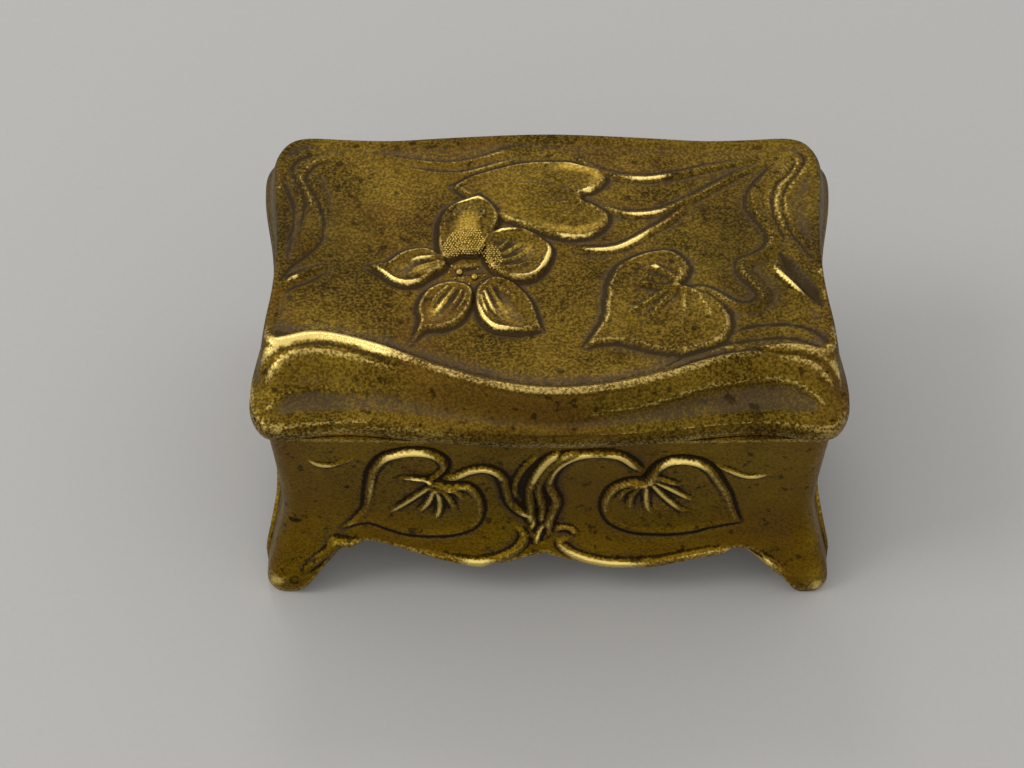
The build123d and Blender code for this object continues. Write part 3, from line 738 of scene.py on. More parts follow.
lidLines = {  # pixels along each line, with half width and height
    "valleyLeft": {"wide": 0.75, "high": -0.4, "ends": (0.12, 0.5), "pixels": (
        (252, 379), (257, 362), (266, 350), (280, 341.5), (298, 337.5), (318, 337), (336, 340), (356, 347),
        (376, 355), (396, 364), (420, 375))},
    "creaseLeft": {"wide": 0.5, "high": 0.22, "ends": (0.05, 0.6), "pixels": (
        (257, 406), (265, 396), (276, 387), (292, 383), (312, 382), (342, 384), (372, 386), (400, 389))},
    "scoopLeft": {"wide": 2.4, "high": -0.28, "ends": (0.1, 0.6), "crisp": 1.2, "pixels": (
        (262, 412), (278, 403), (300, 401), (330, 402), (365, 404), (400, 408))},
    "lipLeft": {"wide": 0.35, "high": -0.14, "ends": (0.1, 0.3), "pixels": (
        (260, 422), (282, 424), (310, 422), (352, 419.5), (392, 420.5), (432, 425), (481, 430), (531, 432))},
    "rollOne": {"wide": 0.4, "high": -0.3, "ends": (0.15, 0.15), "pixels": (
        (722, 332.5), (735, 327.6), (755, 324), (784, 323.6), (806, 330), (822, 342), (831, 357))},
    "rollTwo": {"wide": 0.4, "high": -0.3, "ends": (0.3, 0.15), "pixels": (
        (646, 370), (675, 355), (695, 348), (715, 342), (735, 340), (755, 337.5), (775, 336.5), (795, 339.5),
        (814, 348), (828, 361))},
    "rollThree": {"wide": 0.55, "high": -0.38, "ends": (0.35, 0.12), "pixels": (
        (646, 377), (675, 363), (705, 353), (735, 349), (765, 350), (785, 351.5), (805, 357), (822, 370),
        (832, 388))},
    "creaseRight": {"wide": 0.5, "high": 0.24, "ends": (0.5, 0.05), "pixels": (
        (500, 417), (535, 416), (575, 414), (605, 408), (625, 405), (645, 401), (675, 392), (705, 384),
        (735, 380), (765, 378), (785, 382), (800, 390), (814, 401), (824, 414))},
    "scoopRight": {"wide": 3.0, "high": -0.28, "ends": (0.6, 0.1), "crisp": 1.2, "pixels": (
        (540, 425), (600, 419), (650, 412), (700, 403), (740, 398), (770, 397), (795, 402), (814, 412))},
    "lipRight": {"wide": 0.35, "high": -0.14, "ends": (0.3, 0.1), "pixels": (
        (531, 432), (575, 432), (615, 429), (663, 426), (715, 420), (765, 417), (804, 420), (824, 422))},
    "sideBandRight": {"wide": 2.4, "high": 0.35, "ends": (0.25, 0.3), "crisp": 0.9, "pixels": (
        (792, 158), (780, 176), (772, 196), (776, 220), (788, 240))},
    "sideOne": {"wide": 0.4, "high": -0.35, "ends": (0.12, 0.3), "pixels": (
        (789, 150), (799.8, 156.6), (800.4, 164), (792, 175), (782, 188), (777.4, 201.5), (779.4, 217),
        (786, 232), (795.6, 243.6), (807, 259), (816, 274))},
    "sideTwo": {"wide": 0.4, "high": -0.35, "ends": (0.12, 0.3), "pixels": (
        (782, 152), (790.8, 161), (784, 174), (772.7, 184), (768, 198), (768.8, 215), (776.5, 232),
        (786, 243.6))},
    "stemBed": {"wide": 1.3, "high": 0.3, "ends": (0.2, 0.02), "crisp": 0.9, "pixels": (
        (785, 157), (768, 172), (756, 186), (750, 198), (753, 212), (762, 224), (768, 237), (763, 250),
        (750, 257), (739, 262), (738, 272), (748, 283), (756, 295), (751, 304), (736, 306), (722, 302),
        (708, 294), (694, 289), (682, 287))},
    "stem": {"wide": 0.36, "high": -0.34, "ends": (0.12, 0.02), "pixels": (
        (777, 157.5), (761, 171), (748, 184), (741, 196), (741, 207), (748, 217), (757, 228), (761, 238),
        (756, 247), (745, 253), (733, 257), (729, 265), (732.5, 274), (742, 284), (750, 293), (747, 299),
        (736, 301), (725, 297), (713, 290), (698, 284), (683, 284), (675.5, 279.6))},
    "whipUpper": {"wide": 0.75, "high": 0.34, "ends": (0.2, 0.35), "pixels": (
        (563, 146), (574, 156.6), (587, 165), (599, 171), (610, 174.5), (625, 176.7), (641, 177.6),
        (660, 175.7), (679, 172.8), (702, 168), (736, 162), (767, 155))},
    "whipUpperEdge": {"wide": 0.4, "high": -0.26, "ends": (0.2, 0.35), "pixels": (
        (570, 148), (582, 158), (598, 166), (612, 170), (628, 172.3), (644, 173), (662, 171), (682, 168),
        (704, 163), (736, 158), (762, 152))},
    "whipMid": {"wide": 0.7, "high": 0.32, "ends": (0.1, 0.35), "pixels": (
        (589, 200.6), (602, 206.3), (616, 211), (631, 213), (652, 211), (667, 206), (679, 201.5),
        (690, 196.7), (708, 187), (736, 173), (761, 164), (776, 156.6))},
    "whipMidEdge": {"wide": 0.36, "high": -0.26, "ends": (0.15, 0.35), "pixels": (
        (597, 200), (611, 206), (626, 208.4), (650, 207), (666, 202), (684, 194), (704, 184), (732, 170),
        (758, 160.5))},
    "whipLow": {"wide": 0.7, "high": 0.34, "ends": (0.3, 0.2), "pixels": (
        (538, 240), (554, 244), (573, 247), (593, 248), (612, 246), (631, 238), (646, 229), (660, 221.6),
        (677, 209), (692, 198))},
    "whipLowEdge": {"wide": 0.38, "high": -0.28, "ends": (0.3, 0.2), "pixels": (
        (545, 237), (566, 241.5), (592, 243.5), (611, 241), (629, 233.5), (644, 225), (658, 217.5),
        (676, 205), (690, 195))},
    "backLeftOne": {"wide": 0.6, "high": 0.3, "ends": (0.4, 0.3), "pixels": (
        (345, 152), (375, 151), (400, 156), (430, 160), (455, 160), (480, 155), (510, 147), (545, 144))},
    "backLeftTwo": {"wide": 0.6, "high": 0.3, "ends": (0.4, 0.3), "pixels": (
        (350, 158), (380, 158), (405, 165), (430, 170), (455, 171), (480, 166), (505, 158), (530, 152))},
    "sideBandLeft": {"wide": 2.6, "high": 0.35, "ends": (0.3, 0.3), "crisp": 0.9, "pixels": (
        (306, 156), (298, 170), (303, 186), (309, 205), (306, 226), (296, 243), (283, 258))},
    "innerLeft": {"wide": 0.4, "high": -0.36, "ends": (0.2, 0.2), "pixels": (
        (350, 152), (331, 155.6), (313, 159), (303.5, 169), (303.5, 177), (312.7, 193.5), (318.4, 209.6),
        (318.4, 223), (315, 236), (303.5, 247), (287, 259), (274, 272.7), (269, 284))},
    "middleLeft": {"wide": 0.38, "high": -0.32, "ends": (0.2, 0.3), "pixels": (
        (331, 147.6), (305, 150), (291, 158), (288.6, 166), (294, 180), (301, 194.6), (299, 207),
        (295.4, 223), (288, 238))},
    "outerLeft": {"wide": 0.36, "high": -0.24, "ends": (0.2, 0.3), "pixels": (
        (279.4, 166), (280.5, 183), (287.4, 200), (288.6, 217.6), (281.7, 234.8), (276, 243))},
    "scrollLeft": {"wide": 0.9, "high": 0.4, "ends": (0.4, 0.4), "pixels": (
        (272, 286), (280, 276), (294, 270), (306, 265), (318, 261), (324, 257))},
    "scrollLeftEdge": {"wide": 0.4, "high": -0.3, "ends": (0.3, 0.3), "pixels": (
        (276, 290), (286, 281), (300, 276), (314, 270), (324, 264))},
    "gougeRight": {"wide": 1.7, "high": -0.7, "ends": (0.25, 0.35), "crisp": 1.0, "pixels": (
        (772, 250), (783, 262), (796, 279), (807, 296), (815, 310))},
    "gougeEdge": {"wide": 0.55, "high": 0.4, "ends": (0.3, 0.4), "pixels": (
        (763, 259), (772.7, 272), (784, 282), (795.6, 291), (809, 304), (819, 318))},
    "wispUnder": {"wide": 0.4, "high": 0.12, "ends": (0.4, 0.6), "pixels": (
        (400, 336), (415, 331), (430, 328), (445, 325))},
    "wispRight": {"wide": 0.4, "high": 0.12, "ends": (0.4, 0.6), "pixels": (
        (506, 329), (518, 331), (528, 337), (534, 342))},
}
lidFolds = {  # width, height, and the soft side: 1 to the left of the line's run, -1 to the right
    "sideOne": (1.7, 0.34, 1), "sideTwo": (1.5, 0.3, 1), "stem": (1.3, 0.28, 1),
    "innerLeft": (1.7, 0.34, -1), "middleLeft": (1.5, 0.3, -1), "outerLeft": (1.3, 0.24, -1),
    "whipUpperEdge": (1.9, 0.3, -1), "whipMidEdge": (1.8, 0.3, -1), "whipLowEdge": (1.8, 0.3, -1),
    "backLeftOne": (1.8, 0.3, -1), "backLeftTwo": (1.8, 0.3, -1), "scrollLeftEdge": (1.6, 0.3, 1),
}
ridgeRoll = {
    "wide": 1.05, "high": 0.3, "ends": (0.03, 0.03), "crisp": 1.0, "samples": 800, "front": -13.0, "every": 6,
}

lilyPads = {  # an outline's point that is given twice makes a sharp tip
    "upperLeaf": {"lift": 0.36, "rim": 0.07, "rimWide": 0.5, "dish": -0.14, "ditch": 0.12, "pixels": (
        (450, 183), (450, 183), (463, 176), (477, 171), (500, 165), (522, 161), (545, 160), (566, 161),
        (584, 166), (598, 172), (600, 180), (590, 188), (577, 193), (577, 199), (590, 204), (601, 211),
        (603, 218), (597, 227), (585, 234), (566, 236), (548, 233), (532, 228), (513, 221), (493, 213),
        (472, 200))},
    "rightLeaf": {"lift": 0.34, "rim": 0.07, "rimWide": 0.5, "dish": -0.06, "ditch": 0.12, "pixels": (
        (579, 343), (579, 343), (588, 330), (597, 316), (600, 297), (603, 280), (612, 265), (628, 256),
        (647, 250.5), (664, 250), (676, 257), (682, 267), (679, 276), (672, 283), (674, 285), (690, 290),
        (706, 298), (719, 310), (723, 324), (716, 338), (700, 346), (678, 351), (652, 349), (630, 344),
        (612, 340), (596, 340))},
}
padVeins = {
    "upperLeaf": {"wide": 0.42, "high": 0.15, "ends": (0.05, 0.6), "lines": (
        ((580, 197), (555, 190), (525, 184), (495, 182), (462, 184)),
        ((580, 197), (562, 181), (542, 173), (515, 171)),
        ((582, 196), (586, 182), (580, 171)),
        ((580, 198), (552, 203), (525, 208), (500, 207)),
        ((580, 198), (566, 212), (548, 221), (530, 224)),
        ((582, 199), (592, 210), (590, 222)),
    )},
    "rightLeaf": {"wide": 0.45, "high": 0.24, "ends": (0.02, 0.5), "lines": (
        ((673, 284), (658, 291), (640, 302), (622, 312), (604, 325)),
        ((673, 284), (664, 294), (652, 306), (640, 322), (632, 336)),
        ((673, 284), (652, 287), (632, 284), (612, 283)),
        ((673, 282), (662, 274), (648, 268), (634, 266)),
        ((676, 286), (678, 302), (676, 322), (672, 340)),
        ((678, 286), (692, 296), (702, 312), (704, 334)),
        ((674, 281), (674, 270), (666, 260)),
    )},
    "rightLeafWrinkles": {"wide": 0.5, "high": 0.2, "ends": (0.3, 0.3), "lines": (
        ((634, 268), (642, 276), (654, 281), (664, 281)),
        ((646, 262), (652, 269), (660, 272)),
        ((628, 276), (640, 283), (652, 285)),
    )},
}
petals = {
    "leftPetal": {"lift": 0.5, "rim": 0.1, "rimWide": 0.4, "dish": 0.44, "ditch": 0.13, "pixels": (
        (363, 262), (363, 262), (381.8, 258.8), (394.8, 250), (410, 245.8), (425, 246.8), (437, 254.4),
        (440, 263), (425, 272), (414, 279.4), (399, 281), (386, 277), (376, 269.6)),
        "veins": (((436, 259.5), (418, 262), (402, 266)), ((436, 263), (416, 266), (399, 270)),
                  ((434, 267), (417, 270), (403, 273)), ((432, 255), (415, 255), (398, 258)))},
    "lowerLeftPetal": {"lift": 0.46, "rim": 0.1, "rimWide": 0.4, "dish": 0.4, "ditch": 0.13, "pixels": (
        (407, 333), (407, 333), (413, 317), (411, 304), (418, 290), (430, 282), (446, 279), (460, 282),
        (466, 288), (465, 299), (460, 309), (451, 318.5), (436, 324.5), (419, 326)),
        "veins": (((450, 284), (437, 298), (424, 314)), ((444, 283), (430, 294), (420, 309)),
                  ((457, 286), (446, 302), (432, 317)), ((461, 290), (453, 305), (441, 316)))},
    "lowerRightPetal": {"lift": 0.52, "rim": 0.1, "rimWide": 0.42, "dish": 0.46, "ditch": 0.13, "pixels": (
        (469.6, 289), (469.6, 304), (475, 317), (486, 326), (501, 329), (516, 329.5), (533, 326), (533, 326),
        (529, 312), (524, 299), (512, 285), (499, 276.5), (488, 275), (477, 280)),
        "veins": (((482, 283), (492, 299), (503, 315)), ((487, 281), (504, 293), (518, 309)),
                  ((477, 288), (484, 304), (494, 319)), ((474, 292), (478, 306), (486, 318)))},
    "rightPetal": {"lift": 0.62, "rim": 0.1, "rimWide": 0.45, "dish": 0.5, "ditch": 0.13, "pixels": (
        (482, 262), (479, 248), (482, 236), (491, 228.5), (507.5, 226.5), (523, 229.5), (536, 237),
        (545, 245), (546, 252), (542, 262), (533.6, 272), (522.7, 277), (509, 277), (496, 273)),
        "veins": (((492, 262), (510, 255), (530, 244)), ((492, 256), (508, 246), (522, 238)),
                  ((496, 267), (514, 264), (533, 254)), ((492, 250), (502, 240), (510, 234)))},
    "crownPetal": {"lift": 0.7, "rim": 0.1, "rimWide": 0.45, "dish": -0.2, "ditch": 0.13, "pixels": (
        (435, 253), (433, 238), (435, 220), (443, 207), (457, 199.8), (475, 194.5), (475, 194.5), (487, 203),
        (493.4, 216), (488, 230), (480, 243), (472, 251), (455, 251), (442, 257)),
        "veins": (((450, 222), (450, 213), (457, 205)), ((462, 220), (465, 210), (470, 201)),
                  ((474, 222), (479, 213), (482, 206)), ((441, 232), (440, 222), (446, 212)))},
}
flowerHeart = {
    "pixels": ((461, 262), (463, 271)), "wide": 3.0, "high": -0.42, "ends": (0.01, 0.01), "crisp": 1.0,
}


def laidLines(panel, lines, placed):
    for line in lines.values():
        crisp = line.get("crisp", reliefShape["crisp"])
        panel.roll(placed(line["pixels"]), line["wide"], line["high"], line["ends"], crisp)


def laidPads(panel, pads, placed):
    for pad in pads.values():
        panel.pad(placed(pad["pixels"]), pad)
        wide = pad.get("veinWide", reliefShape["veinWide"])
        high = pad.get("veinHigh", reliefShape["veinHigh"])
        for line in pad.get("veins", ()):
            panel.vein(placed(line), wide, high, reliefShape["veinEnds"])


def ridgeLine():  # along the front of the ridge, from left to right
    ring = lidRing(1, 0, np.linspace(0, 1, ridgeRoll["samples"], endpoint=False))
    front = ring[ring[:, 1] < ridgeRoll["front"]]
    front = front[np.argsort(front[:, 0])][::ridgeRoll["every"]]
    return np.column_stack([front, np.full(len(front), lidPlan["joint"] + lidPlan["rise"])])


lidTop.roll(ridgeLine(), ridgeRoll["wide"], ridgeRoll["high"], ridgeRoll["ends"], ridgeRoll["crisp"])
laidPads(lidTop, lilyPads, lidTop.traced)
for group in padVeins.values():
    for line in group["lines"]:
        lidTop.vein(lidTop.traced(line), group["wide"], group["high"], group["ends"])
for name, (wide, high, side) in lidFolds.items():
    lidTop.fold(lidTop.traced(lidLines[name]["pixels"]), wide, high, side, lidLines[name]["ends"])
laidLines(lidTop, lidLines, lidTop.traced)
laidPads(lidTop, petals, lidTop.traced)
laidLines(lidTop, {"flowerHeart": flowerHeart}, lidTop.traced)
print("lid relief laid")


# Relief of the body

bodyLines = {
    "wispLeft": {"wide": 0.5, "high": 0.34, "ends": (0.4, 0.5), "pixels": (
        (303, 455.6), (310.5, 461), (320, 464.8), (331.5, 464.8), (345, 461), (358, 456.6), (368, 453.7))},
    "wispRight": {"wide": 0.5, "high": 0.34, "ends": (0.3, 0.4), "pixels": (
        (709.6, 463), (726, 469), (746, 476), (764.7, 475), (779, 468))},
    "stemLeft": {"wide": 0.75, "high": 0.62, "ends": (0.1, 0.1), "pixels": (
        (438.7, 478.6), (456, 475.7), (471, 470), (486.5, 468.6), (500, 474.7), (505.6, 486), (510.4, 501.5),
        (521, 511), (530.5, 515), (532.4, 521.6))},
    "apronLeft": {"wide": 0.85, "high": 0.55, "ends": (0.1, 0.1), "pixels": (
        (300, 577), (310, 566), (320, 557), (333, 547.4), (345, 542.5), (362, 541), (385, 544.5),
        (408, 549.5), (427, 554.5), (446, 558.5), (465, 560.8), (484.6, 560.5), (502, 556.5), (516, 549),
        (523.5, 540), (522, 531.5), (511.4, 526))},
    "apronRight": {"wide": 0.85, "high": 0.55, "ends": (0.1, 0.1), "pixels": (
        (573.7, 539), (565, 539), (559.5, 543), (568, 550.5), (580, 556), (592, 559.5), (612, 562.5),
        (640, 562.5), (660, 560.5), (690, 555.5), (715, 551.5), (738, 549.5), (755, 552.5), (768, 561),
        (780, 570), (792, 580))},
    "strandOne": {"wide": 0.78, "high": 0.7, "ends": (0.1, 0.1), "pixels": (
        (529.7, 524), (531, 511), (530, 498), (529.7, 488), (537, 473.7), (545, 463), (554.6, 455),
        (562, 451))},
    "strandTwo": {"wide": 0.78, "high": 0.7, "ends": (0.1, 0.1), "pixels": (
        (540, 528), (542, 512), (541, 500), (538, 488), (543, 475), (553, 463), (566, 455), (583, 451))},
    "strandThree": {"wide": 0.8, "high": 0.7, "ends": (0.1, 0.1), "pixels": (
        (548, 538), (549, 520), (554, 508), (556, 498.7), (549, 484), (554.6, 469), (570.8, 457.6),
        (591, 453), (617.7, 454.7), (635, 465), (645.5, 474))},
    "strandFour": {"wide": 0.5, "high": 0.45, "ends": (0.1, 0.2), "pixels": (
        (516.5, 498.7), (515, 484), (523.8, 468), (532, 460), (541.4, 453))},
    "curlLeft": {"wide": 0.5, "high": 0.5, "ends": (0.2, 0.2), "pixels": (
        (523.8, 509), (532.6, 516), (534, 524), (529, 531))},
    "curlRight": {"wide": 0.5, "high": 0.5, "ends": (0.2, 0.2), "pixels": (
        (554, 532), (560, 527), (570, 528), (577, 535))},
    "curlMiddle": {"wide": 0.5, "high": 0.5, "ends": (0.2, 0.2), "pixels": (
        (547, 510), (545.8, 522), (538.5, 534), (535.6, 546))},
    "heartShadow": {"wide": 1.6, "high": -0.5, "ends": (0.3, 0.3), "crisp": 1.0, "pixels": (
        (541, 500), (541, 520), (541, 545))},
}
leafPads = {
    "leftLeaf": {
        "lift": 0.2, "rim": 0.46, "rimWide": 0.55, "rimLow": 0.25, "dish": 0.12, "ditch": 0.34,
        "veinWide": 0.48, "veinHigh": 0.5,
        "pixels": ((345, 527), (345, 527), (357, 515), (364, 506), (366, 490), (370, 471), (381, 457.5),
                   (397, 452), (414, 450), (431, 452), (444, 459), (447, 467), (440, 475), (434, 480),
                   (452, 484.5), (467.4, 485), (478, 493), (483, 507), (479, 522), (463.5, 531.5),
                   (439, 535), (408, 533.4), (389, 528), (370, 522), (358, 523)),
        "veins": (((435, 480), (420, 477), (404, 477), (389, 482)),
                  ((434, 482), (414, 496), (397, 507), (379, 517)),
                  ((434, 484), (430, 498), (421, 509), (408, 517)),
                  ((436, 484), (440, 504), (435, 518), (424, 524)),
                  ((438, 484), (448, 496), (454, 508), (456, 521)), ((442, 484), (456, 490), (466, 503))),
    },
    "rightLeaf": {
        "lift": 0.2, "rim": 0.46, "rimWide": 0.55, "rimLow": 0.25, "dish": 0.12, "ditch": 0.34,
        "veinWide": 0.48, "veinHigh": 0.5,
        "pixels": ((739, 521), (739, 521), (734, 508), (730, 495), (721, 480), (712, 468), (700, 461),
                   (682, 458), (668, 460), (657, 466), (650, 474), (644, 480), (632, 480), (618, 484),
                   (608, 491), (602, 504), (605, 516), (613, 524), (632, 531), (663, 533), (690, 531),
                   (706, 527), (722, 524)),
        "veins": (((648, 477), (662, 493), (680, 508), (705, 517)),
                  ((650, 476), (668, 486), (690, 498), (706, 503)),
                  ((652, 474), (666, 479), (680, 483), (694, 482)),
                  ((646, 480), (646, 496), (648, 508), (658, 520)),
                  ((643, 481), (632, 494), (630, 508), (636, 519)), ((640, 482), (624, 490), (616, 504))),
    },
}
sideRelief = {
    "leaf": "rightLeaf", "leafShift": -19.5, "lines": {"wispRight": -13.0, "wispLeft": 12.0},
    "bead": {"wide": 0.65, "high": 0.45, "above": 0.75, "ends": (0.05, 0.05), "trim": 8, "every": 12},
}
thrownFrom = {"back": 60.0, "end": 70.0}  # well outside the walls


def onBack(pixels):  # the front's relief, mirrored
    return bodyWall.thrown([(x, thrownFrom["back"], z) for x, y, z in bodyWall.traced(pixels)], (0, -1, 0))


def onEnd(side, shift):  # the front's relief, moved along to a short side
    def placed(pixels):
        places = [(side * thrownFrom["end"], side * (x + shift), z) for x, y, z in bodyWall.traced(pixels)]
        return bodyWall.thrown(places, (-side, 0, 0))
    return placed


def bodyRelief():
    for side, placed in ((-1, bodyWall.traced), (1, onBack)):
        showWall(1, side, wallFrom["front"])
        laidPads(bodyWall, leafPads, placed)
        laidLines(bodyWall, bodyLines, placed)
    leaf, bead = sideRelief["leaf"], sideRelief["bead"]
    bodyWall.flatAxes = [1, 2]
    for side in (-1, 1):
        showWall(0, side, wallFrom["end"])
        laidPads(bodyWall, {leaf: leafPads[leaf]}, onEnd(side, sideRelief["leafShift"]))
        for name, shift in sideRelief["lines"].items():
            laidLines(bodyWall, {name: bodyLines[name]}, onEnd(side, shift))
        arch = sideArch[bead["trim"]:-bead["trim"]:bead["every"]]
        apron = [(side * thrownFrom["end"], y, z + bead["above"]) for y, z in arch]
        bodyWall.roll(bodyWall.thrown(apron, (-side, 0, 0)), bead["wide"], bead["high"], bead["ends"])


bodyRelief()
print("body relief laid")


# Castings with their relief, and the marks of wear, patina, painted highlight and painted shade that their
# finish reads

relief = {
    "softening": 1, "lidProud": 1.35, "bodyProud": 1.25, "sharpFrom": 60.0,
    # each mark's rounds of blurring, and the depth that gives it in full
    "marks": {6: {"crest": 0.1, "groove": -0.085}, 40: {"hollow": -0.2}},
}
lidMarks = {"slope": (38.0, 45.2), "slopeHollow": 0.55, "slopeGroove": 0.3, "insideHollow": 0.25}
painting = {"shortLine": 2.0, "ends": (0.25, 0.25), "endShare": 0.25}

# Each place has its reach in millimetres and the pixels along it
rubbedGlintPlaces = {  # polished by hands, and painted highlights along the glints and bright dots
    "lid": (
        (2.1, ((258, 356), (268, 342), (290, 331), (315, 328), (340, 331), (365, 339), (392, 354))),
        (1.5, ((264, 350), (275, 338), (292, 331), (312, 328), (335, 330), (358, 337), (382, 348))),
        (0.7, ((371, 266), (386, 277), (399, 281), (414, 279))), (0.7, ((424, 256), (408, 258), (392, 262))),
        (0.8, ((473, 300), (478, 314), (490, 325), (505, 327))), (0.9, ((478, 290), (486, 303), (495, 316))),
        (1.1, ((512, 273), (527, 268), (540, 256), (544, 246))), (0.6, ((483, 238), (492, 231), (508, 229))),
        (1.6, ((446, 240), (462, 236), (476, 242))), (0.8, ((452, 203), (466, 198), (480, 202))),
        (0.8, ((484, 248), (490, 258), (488, 268))), (0.5, ((437, 299), (430, 307), (423, 315))),
        (0.8, ((548, 234), (566, 237), (585, 236), (600, 230))), (0.6, ((574, 188), (584, 190), (594, 188))),
        (0.5, ((562, 161), (582, 165), (599, 171))), (0.7, ((622, 177), (645, 178), (665, 176))),
        (0.6, ((620, 213), (642, 213), (660, 210))), (0.9, ((580, 248), (600, 248), (622, 243), (642, 232))),
        (0.8, ((768, 268), (782, 281), (796, 292))), (0.9, ((806, 266), (814, 274))),
        (0.7, ((640, 266), (650, 267))), (0.7, ((265, 284), (280, 277), (296, 271))),
        (0.8, ((262, 438), (274, 439), (285, 440))), (0.9, ((252, 352), (246, 372), (244, 396))),
        (0.8, ((828, 366), (833, 384), (834, 402))), (0.4, ((556.5, 319), (557.5, 319))),
        (0.35, ((253.5, 384), (254.5, 384))), (0.3, ((728.5, 312), (729.5, 312))),
    ),
    "body": (
        (0.8, ((379, 460), (395, 453), (414, 451), (432, 453))),
        (0.8, ((655, 466), (670, 460), (690, 460), (706, 466))),
        (0.8, ((456, 476), (471, 470), (487, 469), (500, 475))),
        (0.8, ((532, 482), (540, 468), (550, 458), (566, 452))),
        (0.8, ((552, 478), (562, 463), (580, 454), (600, 453))), (0.8, ((600, 454), (618, 455), (634, 464))),
        (0.7, ((306, 459), (320, 465), (334, 465))), (0.7, ((726, 469), (748, 476), (768, 473))),
        (0.9, ((440, 557), (465, 561), (492, 560))), (0.9, ((562, 546), (578, 555), (600, 561), (640, 563))),
        (0.45, ((434, 482), (414, 496), (397, 507), (384, 514))),
        (0.45, ((435, 480), (420, 477), (404, 477))), (0.45, ((436, 484), (440, 504), (435, 518))),
        (0.45, ((434, 484), (430, 498), (421, 509))), (0.45, ((648, 477), (662, 493), (680, 508))),
        (0.45, ((650, 476), (668, 486), (690, 498))), (0.45, ((646, 480), (646, 496), (648, 508))),
        (0.5, ((372, 500), (375, 480), (384, 464))), (1.0, ((738, 550), (756, 553), (770, 562))),
        (1.4, ((800, 582), (822, 584))), (1.2, ((270, 577), (292, 580))),
        (0.7, ((520, 510), (531, 516), (532, 526))), (0.7, ((545, 512), (544, 528), (537, 542))),
    ),
}
# Painted shade: darker ground on the lid's sides and fields, on the lid only
paintedShadePlaces = (
    (8.0, ((322, 185), (330, 230), (322, 290))), (7.0, ((735, 190), (728, 250), (770, 330))),
    (4.5, ((808, 158), (812, 200), (815, 240), (822, 300))), (4.0, ((281, 160), (281, 200), (276, 250))),
)
giltSheenPlaces = {  # brighter gold: fresher gilding, and painted highlights along the left ridge and on the right toe
    "lid": (
        (2.2, ((462, 206), (462, 240))), (2.0, ((498, 252), (530, 248))), (1.6, ((486, 297), (507, 319))),
        (1.3, ((392, 267), (428, 262))), (1.4, ((442, 293), (424, 314))),
        (1.1, ((530, 222), (556, 228), (580, 229), (600, 218))),
        (1.0, ((548, 165), (572, 167), (592, 174), (588, 184))), (1.0, ((270, 345), (310, 333), (350, 338))),
    ),
    "body": ((2.6, ((400, 492), (448, 503))), (2.6, ((636, 498), (694, 502))),
             (2.2, ((808, 570), (820, 582)))),
}
blots = {  # small dark stains
    "lid": ((0.9, ((720, 396), (724, 399))), (0.6, ((743, 405), (748, 406))),
            (0.5, ((811, 378), (813, 379))), (0.35, ((356, 318), (358, 318))),
            (0.4, ((352, 405), (362, 407))), (0.3, ((640, 400), (643, 400)))),
    "body": ((0.75, ((291, 519), (298, 520))), (0.35, ((346, 487), (348, 487))),
             (0.35, ((763, 520), (765, 520)))),
}


def paint(piece, name, panel, places):  # raises a mark near traced places
    values = readMark(piece, name)
    least = painting["endShare"]
    for reach, pixels in places:
        line = panel.traced(pixels)
        if len(line) < 2:
            print("place off the casting", name, pixels[0])
            continue
        line, chosen, distance, along = panel.alongside(line, reach)
        fade = 1.0
        if np.linalg.norm(line[-1] - line[0]) > painting["shortLine"]:
            fade = swelling(along, painting["ends"]) * (1 - least) + least
        values[chosen] = np.maximum(values[chosen], fade * (1 - (distance / reach) ** 2))
    writeMark(piece, name, values)


def scaleMark(piece, name, chosen, share):
    values = readMark(piece, name)
    values[chosen] *= share
    writeMark(piece, name, values)


def finishedLid():
    shaped = overBarrel(lidTop.shaped(relief["softening"], relief["lidProud"]))
    under, faces = lidUnderside(lidLoops[-1], lidSamples, lidAcross, lidDeep, len(shaped))
    points = np.vstack([shaped, overBarrel(under)])
    piece = makeMesh("lidCasting", points, lidFaces.tolist() + faces)
    piece.data.set_sharp_from_angle(angle=math.radians(relief["sharpFrom"]))
    markWear(piece, relief["marks"])
    # painted highlights at the glints, together with wear rubbed by hands
    paint(piece, "rubbedglint", lidTop, rubbedGlintPlaces["lid"])
    # painted shade, darkening the lid's sides and fields
    paint(piece, "paintedshade", lidTop, paintedShadePlaces)
    # brighter gold, part fresher gilding and part painted highlight
    paint(piece, "giltsheen", lidTop, giltSheenPlaces["lid"])
    low, high = lidMarks["slope"]
    slope = np.nonzero((lidTop.points[:, 2] < high) & (lidTop.points[:, 2] > low))[0]
    inside = np.arange(len(shaped), len(piece.data.vertices))
    scaleMark(piece, "hollow", inside, lidMarks["insideHollow"])
    scaleMark(piece, "hollow", slope, lidMarks["slopeHollow"])
    scaleMark(piece, "groove", slope, lidMarks["slopeGroove"])
    paint(piece, "groove", lidTop, blots["lid"])
    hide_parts("lid_casting")
    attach(piece, "lid")
    return piece


def finishedBody():
    shaped = clearOfBarrel(bodyWall.shaped(relief["softening"], relief["bodyProud"]))
    piece = makeMesh("bodyCasting", shaped, bodyFaces)
    piece.data.set_sharp_from_angle(angle=math.radians(relief["sharpFrom"]))
    markWear(piece, relief["marks"])
    showWall(1, -1, wallFrom["front"])
    # painted highlights at the glints, together with wear rubbed by hands
    paint(piece, "rubbedglint", bodyWall, rubbedGlintPlaces["body"])
    paint(piece, "groove", bodyWall, blots["body"])
    # brighter gold, part fresher gilding and part painted highlight
    paint(piece, "giltsheen", bodyWall, giltSheenPlaces["body"])
    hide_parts("body_casting")
    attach(piece, "case")
    return piece


lidPiece = finishedLid()
bodyPiece = finishedBody()
print("castings made", len(lidPiece.data.polygons), len(bodyPiece.data.polygons))


# Nodes that the beads and the finishes are built from

